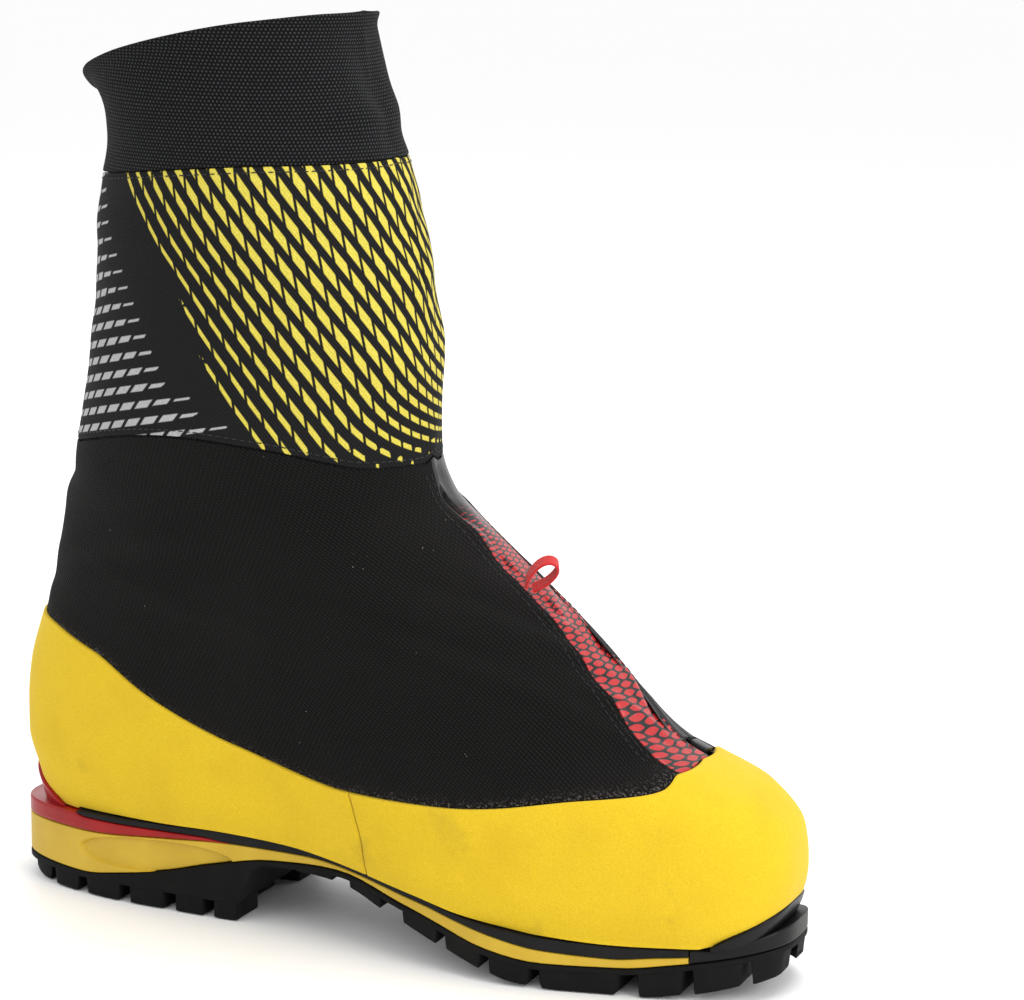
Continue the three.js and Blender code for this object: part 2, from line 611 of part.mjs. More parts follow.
function sliderSolid() {
  const bottomHigh = toothLow - 0.5;
  const bottomLow = bottomHigh - 0.9;
  const topPlate = block(slider.width, slider.length, plateLow, plateLow + slider.plate);
  const bottomPlate = block(slider.width - 1.5, slider.length - 2, bottomLow, bottomHigh);
  const post = block(slider.post, 3, bottomHigh - 0.4, plateLow + 0.5, 0, -slider.length / 2 + 2.2);
  const ears = [-1, 1].map((s) =>
    block(slider.ear, slider.earLength, plateLow + 0.5, earHigh, s * earPlace, pinPlace));
  const pin = acrossPin(slider.pin / 2, 2 * earPlace + 0.2, 12);
  return joined(topPlate, bottomPlate, post, ...ears, pin);
}
const sliderGeometry = sliderSolid().applyMatrix4(sliderFrame);
add("zip_slider", sliderGeometry, 0x3a3a3e, 0.35, 0.8);

// The puller hangs from the slider's pin: a tab with an eye at its top and a hole at its lower end.
function pullerSolid() {
  const [low, high] = [pinHeight - puller.thickness / 2, pinHeight + puller.thickness / 2];
  const shoulder = 7; // from the slider's middle to where the tab gets its full width
  const tabLength = puller.length - shoulder;
  const stem = block(puller.stem, shoulder + 2, low, high, 0, shoulder / 2 - 0.3);
  const eye = acrossPin(puller.bore / 2 + 0.9, puller.stem, 20);
  const tab = block(puller.width, tabLength, low, high, 0, shoulder + tabLength / 2);
  const bore = acrossPin(puller.bore / 2, 8, 16);
  const hole = new THREE.CylinderGeometry(puller.hole / 2, puller.hole / 2, 8, 20).rotateX(Math.PI / 2)
    .translate(0, puller.length - 4, outSign * pinHeight);
  return cut(joined(stem, eye, tab), bore, hole);
}
add("zip_puller", pullerSolid().applyMatrix4(sliderFrame), 0x222226, 0.5);

// ---- Finger loop on the seam of the instep panel ----
function fingerLoopSolid() {
  const { out } = directions(fingerLoop.height, fingerLoop.place);
  const root = gaiterSkin(fingerLoop.height, fingerLoop.place, gap);
  const along = new THREE.Vector3(0.62, 0, 0.5).addScaledVector(out, 0.9).normalize();
  const width = new THREE.Vector3(0, 1, 0).addScaledVector(along, -along.y).normalize();
  const thick = along.clone().cross(width).normalize();
  const eye = (length, height) => {
    const shape = new THREE.Shape();
    shape.moveTo(0, -height / 2 + 0.01);
    shape.bezierCurveTo(length * 0.4, -height * 0.62, length, -height * 0.62, length, 0);
    shape.bezierCurveTo(length, height * 0.62, length * 0.4, height * 0.62, 0, height / 2);
    return shape;
  };
  const shape = eye(fingerLoop.length, fingerLoop.opening + 2 * webbing.thickness);
  const hole = eye(fingerLoop.length - 2 * webbing.thickness, fingerLoop.opening);
  const options = { depth: webbing.width, bevelEnabled: false, curveSegments: 8 };
  const outerBody = new THREE.ExtrudeGeometry(shape, options);
  const innerBody = new THREE.ExtrudeGeometry(hole, { ...options, depth: webbing.width + 2 })
    .translate(webbing.thickness, 0, -1);
  const frame = new THREE.Matrix4().makeBasis(along, thick, along.clone().cross(thick));
  const standOff = 1.6; // keeps the webbing clear of the panel
  frame.setPosition(root.clone().addScaledVector(along.clone().cross(thick), -webbing.width / 2)
    .addScaledVector(along, standOff));
  return cut(outerBody, innerBody).applyMatrix4(frame);
}
add("finger_loop", fingerLoopSolid(), 0xe01818, 0.6);

// ---- Inner boot ----
const boardOutline = (inset) => (x) => {
  const level = seat(x) + 1;
  const back = alongBoot(gaiterBack(level));
  const front = alongBoot(gaiterFront(level));
  const u = clamp((x - back - inset) / (front - back - 2 * inset), 0, 1);
  const [inner, outer] = gaiterHalves(level, u);
  const bow = (2 * Math.sqrt(u * (1 - u))) ** squareness(level);
  return [inner + inset * bow, outer - inset * bow];
};
function layer(inset, bottom, thickness) {
  const back = alongBoot(gaiterBack(heelLedgeHeight)) + inset;
  const front = alongBoot(gaiterFront(toeLedge.high - 3)) - inset;
  const ends = [...roundEnd, ...roundEnd.map((u) => 1 - u)].map((u) => mix(back, front, u));
  const stations = between(ends[3] + 0.5, ends[7] - 0.5).concat(ends).sort((a, b) => a - b);
  return slab({ stations, bottom, top: (x) => bottom(x) + thickness, outline: boardOutline(inset) });
}
const boardBottom = (x) => seat(x) + gap;
const boardTop = (x) => boardBottom(x) + boardThickness;
const wallFoot = { floor: boardTop };
add("lasting_board", layer(boardInset, boardBottom, boardThickness), 0x2b2b2e, 0.4);
const liningInset = innerBootInset + quarterWall + liningWall + 2 * gap;
// A longer boot's walls bend further from the outline.
const footbedGap = 1.2 * (soleLength / drawn.length) ** 3;
const footbedBottom = (x) => boardTop(x) + 2 * gap;
add("footbed", layer(liningInset + footbedGap, footbedBottom, footbedThickness), 0x3c3f45, 0.95);

const wallRow = (place) => boardTop(gaiterPoint(34, place).x) + 2 * gap;
const quarterTop = always(upShaft(innerBootTop));
const upperWall = { skin: innerSkin, bottom: wallRow, ...wallFoot };
const throatFrom = always(1 - throatHalf);
const throatTo = always(1 + throatHalf);
// Half the gap between the vamp and the quarters, as a share of one side; a taller quarter's edge bows more.
const innerSeam = 0.012 * (shaftHeight / drawn.shaft) ** 2;
// The quarters run from the throat's outer edge round the heel to its inner edge.
const quarterRun = { left: always(throatHalf - 1), right: throatFrom, top: quarterTop, ...upperWall };
const innerFabric = 0x2e3238;
add("inner_quarters",
  panel({ ...quarterRun, outer: 0, inner: -quarterWall, columns: 28, rows: 10 }), innerFabric, 0.85);
add("inner_vamp", panel({
  ...upperWall, left: always(1 - throatHalf + innerSeam), right: always(1 + throatHalf - innerSeam),
  top: always(throatStart), outer: 0, inner: -quarterWall, columns: 8, rows: 5,
}), innerFabric, 0.85);
const liningOuter = -quarterWall - gap;
const liningInner = liningOuter - liningWall;
add("inner_lining", panel({
  ...quarterRun, outer: liningOuter, inner: liningInner, columns: 28, rows: 10,
}), 0x55585e, 0.95);
// The tongue lies under the throat, inside the lining, and stands above the cuff.
const tongueOuter = liningInner - 5 * gap;
add("inner_tongue", panel({
  skin: innerSkin, left: always(1 - throatHalf - 0.05), right: always(1 + throatHalf + 0.05),
  bottom: always(throatStart - 16), top: always(upShaft(innerBootTop) + tongueRise),
  outer: tongueOuter, inner: tongueOuter - tonguePad, columns: 8, rows: 9,
}), 0x3a3d44, 0.9);
add("inner_cuff", panel({
  skin: innerSkin, left: always(throatHalf - 0.93), right: always(0.93 - throatHalf),
  bottom: always(upShaft(innerBootTop) + gap), top: always(upShaft(innerBootTop) + cuffHeight),
  outer: 0.4, inner: liningInner - 0.6, columns: 22, rows: 3,
}), 0x1f2024, 0.95);

// Stiffeners between the inner boot and the rand.
add("heel_counter", panel({
  skin: innerSkin, left: always(-counterHalf), right: always(counterHalf), bottom: wallRow, ...wallFoot,
  top: (place) => mix(wallRow(place), upShaft(innerBootTop), 0.4),
  outer: stiffenerGap + stiffenerWall, inner: stiffenerGap, columns: 12, rows: 4,
}), 0xd8d4c8, 0.5);
add("toe_puff", panel({
  skin: innerSkin, left: always(1 - puffHalf), right: always(1 + puffHalf), bottom: wallRow, ...wallFoot,
  top: (place) => mix(wallRow(place), throatStart, 0.6),
  outer: stiffenerGap + stiffenerWall, inner: stiffenerGap, columns: 6, rows: 3,
}), 0xd8d4c8, 0.5);

// ---- Lacing ----
const rowHeight = (row) => upShaft(mix(throatStart + 12, innerBootTop - 12, row / (laceRows - 1)));
const loopPlace = (side) => 1 + side * (throatHalf + 0.035);
// Where a webbing loop sits on a quarter: the way up the throat, the way out, and the middle of its bore.
function loopSeat(row, side) {
  const { up, out } = directions(rowHeight(row), loopPlace(side), innerSkin);
  const centre = innerSkin(rowHeight(row), loopPlace(side)).addScaledVector(out, laceLoop.rise);
  return { up, out, centre };
}
function webbingLoop(row, side) {
  const { up, out, centre } = loopSeat(row, side);
  const frame = new THREE.Matrix4().makeBasis(out.clone().cross(up), out, up).setPosition(centre);
  const outerRadius = laceLoop.bore / 2 + laceLoop.wall;
  const shape = new THREE.Shape().absarc(0, 0, outerRadius, 0, 2 * Math.PI);
  shape.holes.push(new THREE.Path().absarc(0, 0, laceLoop.bore / 2, 0, 2 * Math.PI, true));
  const options = { depth: laceLoop.width, bevelEnabled: false, curveSegments: 6 };
  return new THREE.ExtrudeGeometry(shape, options).translate(0, 0, -laceLoop.width / 2).applyMatrix4(frame);
}
for (const [name, side] of [["inner", -1], ["outer", 1]])
  for (let row = 0; row < laceRows; row++)
    add(`lace_loop_${name}_${row + 1}`, webbingLoop(row, side), 0x4a4d55, 0.8);

// The two ends of the lace run straight up beside each other above the top row.
const tailBase = innerSkin(upShaft(laceTail.start), 1, laceTail.rise);
const tailUp = innerSkin(upShaft(laceTail.start + 30), 1).sub(innerSkin(upShaft(laceTail.start), 1))
  .setY(0).normalize();
const sideways = new THREE.Vector3(0, 1, 0);
const tailPoint = (side, along) => tailBase.clone().addScaledVector(tailUp, along)
  .addScaledVector(sideways, (side * laceTail.apart) / 2);

// The lace crosses the throat from loop to loop; one strand passes over the other at each crossing.
function laceRoute() {
  const points = [];
  const straight = laceLoop.width / 2 + 1.8;
  const at = (row, side, goingDown) => {
    const { up, centre } = loopSeat(row, side);
    for (const step of [1, 0, -1])
      points.push(centre.clone().addScaledVector(up, (goingDown ? step : -step) * straight));
  };
  const cross = (z0, side0, z1, side1, height) => {
    for (const s of [0.13, 0.3, 0.5, 0.7, 0.87]) {
      const lift = mix(laceLoop.rise, height, smooth(2.4 - 4.8 * Math.abs(s - 0.5)));
      points.push(innerSkin(mix(z0, z1, s), mix(loopPlace(side0), loopPlace(side1), s), lift));
    }
  };
  const [over, under] = [laceLoop.rise + 0.9, laceLoop.rise - 2.9];
  const exit = straight + 2.4; // how far above or below its row the lace turns across
  const last = laceRows - 1;
  const tail = [laceTail.length, laceTail.length / 2, 8, 3, 0];
  points.push(...tail.map((along) => tailPoint(-1, along)));
  let side = -1;
  for (let row = last; row >= 0; row--) {
    at(row, side, true);
    if (row > 0) cross(rowHeight(row) - exit, side, rowHeight(row - 1) + exit, -side, over);
    side = -side;
  }
  side = -side;
  cross(rowHeight(0) - exit, side, rowHeight(0) - exit, -side, laceLoop.rise);
  side = -side;
  for (let row = 0; row <= last; row++) {
    at(row, side, false);
    if (row < last) cross(rowHeight(row) + exit, side, rowHeight(row + 1) - exit, -side, under);
    side = -side;
  }
  points.push(...tail.reverse().map((along) => tailPoint(1, along)));
  return points;
}
const roundSection = (radius, sides) => new THREE.Shape(Array.from({ length: sides }, (_, i) => {
  const angle = (2 * Math.PI * i) / sides;
  return new THREE.Vector2(radius * Math.cos(angle), radius * Math.sin(angle));
}));
const laceCurve = new THREE.CatmullRomCurve3(laceRoute(), false, "centripetal");
laceCurve.arcLengthDivisions = 2000;
add("lace", new THREE.ExtrudeGeometry(roundSection(laceDiameter / 2, 6), {
  steps: 110, extrudePath: laceCurve, bevelEnabled: false,
}), 0x8d1f22, 0.8);

// The cord lock grips both ends of the lace; its button lies in a pocket in its front.
const lockFrame = new THREE.Matrix4().makeBasis(sideways, tailUp, sideways.clone().cross(tailUp))
  .setPosition(tailPoint(0, cordLock.above + cordLock.height / 2));
const lockOut = Math.sign(sideways.clone().cross(tailUp).x) || 1;
const lockFront = lockOut * (cordLock.depth / 2 - cordLock.cordDepth);
const roundBar = (diameter, length) => new THREE.CylinderGeometry(diameter / 2, diameter / 2, length, 20);
const lockBody = new THREE.BoxGeometry(cordLock.width, cordLock.height, cordLock.depth)
  .translate(0, 0, -lockOut * cordLock.cordDepth);
const lockBores = [-1, 1].map((side) => roundBar(cordLock.bore, cordLock.height + 4)
  .translate((side * laceTail.apart) / 2, 0, 0));
const pocket = roundBar(lockButton.diameter + 2 * gap, 2 * lockButton.pocket).rotateX(Math.PI / 2)
  .translate(0, 0, lockFront);
add("lace_lock", cut(lockBody, ...lockBores, pocket).applyMatrix4(lockFrame), 0x1a1a1c, 0.4);
const buttonLow = cordLock.depth / 2 - cordLock.cordDepth - lockButton.pocket + lockButton.travel + gap;
add("lace_lock_button", roundBar(lockButton.diameter, lockButton.length).rotateX(Math.PI / 2)
  .translate(0, 0, lockOut * (buttonLow + lockButton.length / 2)).applyMatrix4(lockFrame), 0xc9201f, 0.4);

// ---- Pull tab behind the cuff ----
function heelTabSolid() {
  const flat = (inset) => {
    const [half, length] = [heelTab.depth / 2 - inset, heelTab.length - 2 * inset];
    const shape = new THREE.Shape();
    shape.absarc(0, length / 2 - half, half, 0, Math.PI);
    shape.absarc(0, half - length / 2, half, Math.PI, 2 * Math.PI);
    return shape;
  };
  const shape = flat(0);
  shape.holes.push(new THREE.Path(flat(heelTab.strap).getPoints(6).reverse()));
  const standOff = (soleLength / drawn.length) ** 3 + heelTab.depth / 2;
  const base = innerSkin(upShaft(heelTab.lowest), 0, standOff);
  const top = innerSkin(upShaft(heelTab.lowest) + 12, 0, standOff);
  const up = top.sub(base).setY(0).normalize();
  const back = new THREE.Vector3(-up.z, 0, up.x);
  const frame = new THREE.Matrix4().makeBasis(back, up, back.clone().cross(up))
    .setPosition(base.clone().addScaledVector(up, heelTab.length / 2));
  const options = { depth: heelTab.width, bevelEnabled: false, curveSegments: 6 };
  return new THREE.ExtrudeGeometry(shape, options).translate(0, 0, -heelTab.width / 2).applyMatrix4(frame);
}
add("heel_pull_tab", heelTabSolid(), 0x9b1c1f, 0.8);

export default group;
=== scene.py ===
import math

import bmesh
import bpy
import numpy as np
from mathutils import Matrix, Vector


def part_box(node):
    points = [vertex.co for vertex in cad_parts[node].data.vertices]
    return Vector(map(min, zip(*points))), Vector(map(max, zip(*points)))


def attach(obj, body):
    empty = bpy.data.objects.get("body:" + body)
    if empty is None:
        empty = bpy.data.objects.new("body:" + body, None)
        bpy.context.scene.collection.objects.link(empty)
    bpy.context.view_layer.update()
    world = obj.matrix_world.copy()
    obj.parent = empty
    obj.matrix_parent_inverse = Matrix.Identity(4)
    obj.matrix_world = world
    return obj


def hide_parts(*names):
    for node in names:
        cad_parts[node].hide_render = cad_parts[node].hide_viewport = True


# A left mountaineering boot: a laced inner boot inside a printed full gaiter, on a welted lug sole.
# Shapes are worked out in millimetres, +X heel to toe, +Y outer side, +Z up, and stored in metres.
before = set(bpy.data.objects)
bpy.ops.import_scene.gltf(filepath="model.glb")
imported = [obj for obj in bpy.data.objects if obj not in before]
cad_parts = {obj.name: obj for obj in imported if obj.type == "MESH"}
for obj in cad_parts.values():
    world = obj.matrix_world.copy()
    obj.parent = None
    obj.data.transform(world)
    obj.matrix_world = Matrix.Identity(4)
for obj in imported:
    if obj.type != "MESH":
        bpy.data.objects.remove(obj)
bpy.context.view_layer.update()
mm = 0.001
print("frame loaded:", len(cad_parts), "nodes")


# ---- camera, light and floor ----
viewpoint = {"azimuth": 23.7, "elevation": 11.5, "roll": 0.83, "distance": 1.05, "lens": 103.6,
             "target": (0.0453, 0.0, 0.1634)}
studio = {"floor": 80.0, "floorLevel": -0.0004, "floorColour": (0.93, 0.93, 0.93), "floorRoughness": 0.6,
          "sky": 1.04, "aim": (0, 0, 0.15)}
lamps = {  # place, width and height, watts
    "keyLamp": ((-0.5, -1.5, 1.3), (1.1, 1.1), 3.5),
    "topLamp": ((0.3, 0.1, 1.7), (1.2, 0.9), 12),
    "frontLamp": ((1.5, -0.5, 0.7), (0.7, 1.2), 13),
    "backLamp": ((-0.9, 1.3, 0.9), (1.0, 1.0), 4),
}


def makeCamera():
    # back = (sin a cos e, -cos a cos e, sin e); the camera stands at target + distance * back
    a, e, roll = (math.radians(viewpoint[k]) for k in ("azimuth", "elevation", "roll"))
    back = Vector((math.sin(a) * math.cos(e), -math.cos(a) * math.cos(e), math.sin(e)))
    level = Vector((math.cos(a), math.sin(a), 0))
    up = back.cross(level)
    right = level * math.cos(roll) + up * math.sin(roll)
    up = up * math.cos(roll) - level * math.sin(roll)
    camera = bpy.data.objects.new("camera", bpy.data.cameras.new("camera"))
    camera.data.lens = viewpoint["lens"]
    camera.data.clip_start, camera.data.clip_end = 0.05, 50
    camera.matrix_world = Matrix((right, up, back)).transposed().to_4x4()
    camera.location = Vector(viewpoint["target"]) + back * viewpoint["distance"]
    bpy.context.scene.collection.objects.link(camera)
    bpy.context.scene.camera = camera


def makeLamp(name, place, size, power):
    lamp = bpy.data.objects.new(name, bpy.data.lights.new(name, "AREA"))
    lamp.data.shape, lamp.data.size, lamp.data.size_y = "RECTANGLE", size[0], size[1]
    lamp.data.energy = power
    lamp.location = place
    lamp.rotation_euler = (Vector(studio["aim"]) - Vector(place)).to_track_quat("-Z", "Y").to_euler()
    bpy.context.scene.collection.objects.link(lamp)


def makeStudio():
    makeCamera()
    world = bpy.data.worlds.new("studio")
    world.use_nodes = True
    sky = world.node_tree.nodes["Background"]
    sky.inputs["Color"].default_value = (1, 1, 1, 1)
    sky.inputs["Strength"].default_value = studio["sky"]
    bpy.context.scene.world = world
    bpy.context.scene.view_settings.view_transform = "Standard"
    for name, settings in lamps.items():
        makeLamp(name, *settings)
    half, level = studio["floor"] / 2, studio["floorLevel"]
    mesh = bpy.data.meshes.new("floor")
    corners = [(-half, -half, level), (half, -half, level), (half, half, level), (-half, half, level)]
    mesh.from_pydata(corners, [], [(0, 1, 2, 3)])
    floor = bpy.data.objects.new("floor", mesh)
    paint = bpy.data.materials.new("floorPaint")
    paint.use_nodes = True
    shader = paint.node_tree.nodes["Principled BSDF"]
    shader.inputs["Base Color"].default_value = (*studio["floorColour"], 1)
    shader.inputs["Roughness"].default_value = studio["floorRoughness"]
    mesh.materials.append(paint)
    bpy.context.scene.collection.objects.link(floor)


makeStudio()
print("camera, lamps and floor made")


# ---- curves as whole-array functions ----
def mix(a, b, s):
    return a + (b - a) * s


def smooth(v):
    # s^2 (3 - 2 s), with s = v held between 0 and 1
    s = np.clip(v, 0, 1)
    return s * s * (3 - 2 * s)


def bump(v, centre, width):
    # exp(-((v - centre) / width)^2)
    return np.exp(-(((v - centre) / width) ** 2))


def through(points):
    # cubic through the points with harmonic-mean tangents, which never overshoots; level past its ends
    x, y = np.array(points, float).T
    slope = np.diff(y) / np.diff(x)
    before, after = slope[:-1], slope[1:]
    total = np.where(before * after > 0, before + after, 1)
    inner = np.where(before * after > 0, 2 * before * after / total, 0)
    tangent = np.concatenate([slope[:1], inner, slope[-1:]])

    def curve(at):
        at = np.clip(np.asarray(at, float), x[0], x[-1])
        i = np.clip(np.searchsorted(x, at, side="right") - 1, 0, len(x) - 2)
        h = x[i + 1] - x[i]
        s = (at - x[i]) / h
        value = y[i] * (1 + 2 * s) * (1 - s) ** 2 + y[i + 1] * s * s * (3 - 2 * s)
        return value + h * s * (1 - s) * (tangent[i] * (1 - s) - tangent[i + 1] * s)

    return curve


def byPlace(points):
    # the same on both sides of the boot: place p and place 2 - p give one height
    curve = through(points)
    return lambda place: curve(1 - np.abs((np.asarray(place, float) % 2) - 1))


def always(value):
    return lambda at: np.full_like(np.asarray(at, float), value)


def unit(v):
    return v / np.maximum(np.linalg.norm(v, axis=-1, keepdims=True), 1e-12)


def wayAlong(path):
    # the way from a path's first point to each of its points
    return np.concatenate([[0], np.cumsum(np.linalg.norm(np.diff(path, axis=0), axis=-1))])


def pointsAt(at, run, path):
    # what the path holds at these ways along it
    return np.stack([np.interp(at, run, path[:, k]) for k in range(path.shape[1])], -1)


# ---- the boot's shape ----
soleLow, soleHigh = (np.array(corner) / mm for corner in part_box("outsole"))
heelEnd, toeEnd = soleLow[0], soleHigh[0]
soleLength = toeEnd - heelEnd
drawnSole = 315  # the curves below are drawn for a sole this long, with its heel at -155
stretchX = soleLength / drawnSole
gap = 0.3

boot = {
    # each curve gives a measure from the height
    "back": through([(20, -140), (30, -144.6), (42, -148.5), (58, -154), (70, -154.2), (84, -152.8),
                     (110, -145.2), (150, -135.2), (190, -126.4), (215, -122.6), (240, -119.6), (265, -117.6),
                     (290, -114), (320, -117)]),
    "front": through([(20, 150), (30, 155.1), (42, 157), (55, 156), (68, 146), (75, 130), (82, 113),
                      (96, 97.4), (110, 82.7), (130, 58.7), (150, 33.5), (163, 19.5), (178, 14), (205, 14.2),
                      (240, 9.6), (265, 5), (290, -3.9), (310, -11.3), (330, -15.3)]),
    "ballInner": through([(20, 44), (35, 47), (55, 48), (80, 46), (110, 44), (150, 46), (185, 50),
                          (230, 50), (280, 48), (320, 46)]),
    "ballOuter": through([(20, 50), (35, 54), (55, 53), (80, 50), (110, 47.5), (150, 48), (185, 50),
                          (230, 50), (280, 48), (320, 46)]),
    "heel": through([(20, 30), (35, 34), (50, 37), (80, 40), (120, 43), (150, 46), (185, 50), (230, 50),
                     (280, 48), (320, 46)]),
    "squareness": through([(20, 0.62), (50, 0.66), (80, 0.75), (120, 0.85), (150, 0.92), (185, 1)]),
    "waist": through([(20, 8), (35, 8), (80, 3), (120, 0)]),
    "toeSwing": through([(20, -4), (80, -3), (150, 0)]),
    "crowding": 0.75, "ballFrom": 0.15, "ballBlend": 0.5, "waistAt": 0.42, "waistReach": 0.14,
}


def alongBoot(x):
    return heelEnd + (x + 155) * stretchX


def gaiterPoint(z, place):
    # angle a = pi (p - 0.75 sin(2 pi p) / (2 pi)), length share u = (1 - cos a) / 2
    # x = back + (front - back) u, y = swing -+ halfWidth (2 sqrt(u (1 - u)))^squareness
    z, place = np.broadcast_arrays(np.asarray(z, float), np.asarray(place, float))
    angle = np.pi * (place - boot["crowding"] * np.sin(2 * np.pi * place) / (2 * np.pi))
    u = (1 - np.cos(angle)) / 2
    x = alongBoot(mix(boot["back"](z), boot["front"](z), u))
    ball = smooth((u - boot["ballFrom"]) / boot["ballBlend"])
    bow = (2 * np.sqrt(np.clip(u * (1 - u), 0, 1))) ** boot["squareness"](z)
    swing = boot["toeSwing"](z) * np.clip(2 * u - 1, 0, 1)
    pinch = boot["waist"](z) * bump(u, boot["waistAt"], boot["waistReach"])
    inner = mix(boot["heel"](z), boot["ballInner"](z), ball) - pinch
    outer = mix(boot["heel"](z), boot["ballOuter"](z), ball)
    y = np.where(np.sin(angle) >= 0, swing - inner * bow, swing + outer * bow)
    return np.stack([x, y, z], -1)


def directions(z, place, point=gaiterPoint):
    # around = dP/dplace, up = dP/dz, out = around x up, by central differences
    step = 0.004
    around = (point(z, place + step) - point(z, place - step)) / (2 * step)
    up = point(z + 1, place) - point(z - 1, place)
    return around, unit(up), unit(np.cross(around, up))


def gaiterSkin(z, place, offset=0):
    # P(z, place) + offset * out
    out = directions(z, place)[2]
    return gaiterPoint(z, place) + out * np.asarray(offset, float)[..., None]


setBack = {"everywhere": 4.2, "shaft": 6, "instep": 9}


def innerSkin(z, place, offset=0):
    # the gaiter's surface set back: everywhere + shaft * step(height) + instep * step(place) * step(height)
    fromToe = np.abs((place % 2) - 1)
    atFront = smooth((0.8 - fromToe) / 0.5)
    back = setBack["shaft"] * smooth((z - 105) / 45) + setBack["instep"] * atFront * smooth((z - 80) / 20)
    return gaiterSkin(z, place, offset - setBack["everywhere"] - back)


# ---- meshes ----
def newPiece(name, points, faces, paint, body="boot", stands=(), uv=None, marks=None, sharp=40, merge=None):
    # points (n, 3) in millimetres, faces (m, 4) as indices; uv and marks hold one value for each point
    mesh = bpy.data.meshes.new(name)
    faces = np.asarray(faces, np.int32)
    mesh.vertices.add(len(points))
    mesh.vertices.foreach_set("co", (np.asarray(points, float) * mm).astype(np.float32).ravel())
    mesh.loops.add(faces.size)
    mesh.loops.foreach_set("vertex_index", faces.ravel())
    mesh.polygons.add(len(faces))
    mesh.polygons.foreach_set("loop_start", np.arange(0, faces.size, faces.shape[1], dtype=np.int32))
    for layer, values in (uv or {}).items():
        data = mesh.uv_layers.new(name=layer).data
        data.foreach_set("uv", np.asarray(values, np.float32)[faces.ravel()].ravel())
    for mark, values in (marks or {}).items():
        data = mesh.attributes.new(mark, "FLOAT", "POINT").data
        data.foreach_set("value", np.asarray(values, np.float32).ravel())
    mesh.update(calc_edges=True)
    mesh.validate()
    if merge:
        shape = bmesh.new()
        shape.from_mesh(mesh)
        bmesh.ops.remove_doubles(shape, verts=shape.verts, dist=merge * mm)
        bmesh.ops.dissolve_degenerate(shape, edges=shape.edges, dist=merge * mm)
        bmesh.ops.recalc_face_normals(shape, faces=shape.faces)
        shape.to_mesh(mesh)
        shape.free()
    mesh.polygons.foreach_set("use_smooth", np.ones(len(mesh.polygons), bool))
    mesh.set_sharp_from_angle(angle=math.radians(sharp))
    piece = bpy.data.objects.new(name, mesh)
    bpy.context.scene.collection.objects.link(piece)
    mesh.materials.append(paint)
    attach(piece, body)
    if stands:
        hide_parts(*([stands] if isinstance(stands, str) else stands))
    return piece


def gridFaces(rows, columns, ring=False, start=0):
    # quads of a grid of rows x columns points, counted from start; a ring joins its last column to its first
    across = columns if ring else columns - 1
    j, i = np.meshgrid(np.arange(rows - 1), np.arange(across), indexing="ij")
    after = (i + 1) % columns
    a, b = j * columns + i, j * columns + after
    return start + np.stack([a, b, b + columns, a + columns], -1).reshape(-1, 4)


def closeShell(outer, inner, ring=False):
    # outer and inner are (rows, columns, 3) grids of one panel; walls join their borders
    rows, columns = outer.shape[:2]
    count = rows * columns
    faces = [gridFaces(rows, columns, ring), gridFaces(rows, columns, ring, count)[:, ::-1]]
    grid = np.arange(count).reshape(rows, columns)

    def wall(line, flip):
        here, there = (line, np.roll(line, -1)) if ring else (line[:-1], line[1:])
        quad = np.stack([here, there, there + count, here + count], -1)
        faces.append(quad if flip else quad[:, ::-1])

    wall(grid[0], False)
    wall(grid[-1], True)
    if not ring:
        wall(grid[:, 0], True)
        wall(grid[:, -1], False)
    return np.concatenate([outer.reshape(-1, 3), inner.reshape(-1, 3)]), np.concatenate(faces)


def spaced(count, near):
    # shares 0..1, with a few extra lines close to both ends for a rounded edge
    return np.unique(np.concatenate([np.linspace(0, 1, count), near, 1 - np.asarray(near)]))


def rounding(share, length, radius):
    # how far a rounded edge of that radius falls: r - sqrt(r^2 - (r - d)^2), where d is the way to the edge
    d = np.minimum(share, 1 - share) * length
    t = np.clip(1 - d / max(radius, 1e-6), 0, 1)
    return radius * (1 - np.sqrt(1 - t * t))


hidden = -0.3  # a print's share where nothing is printed


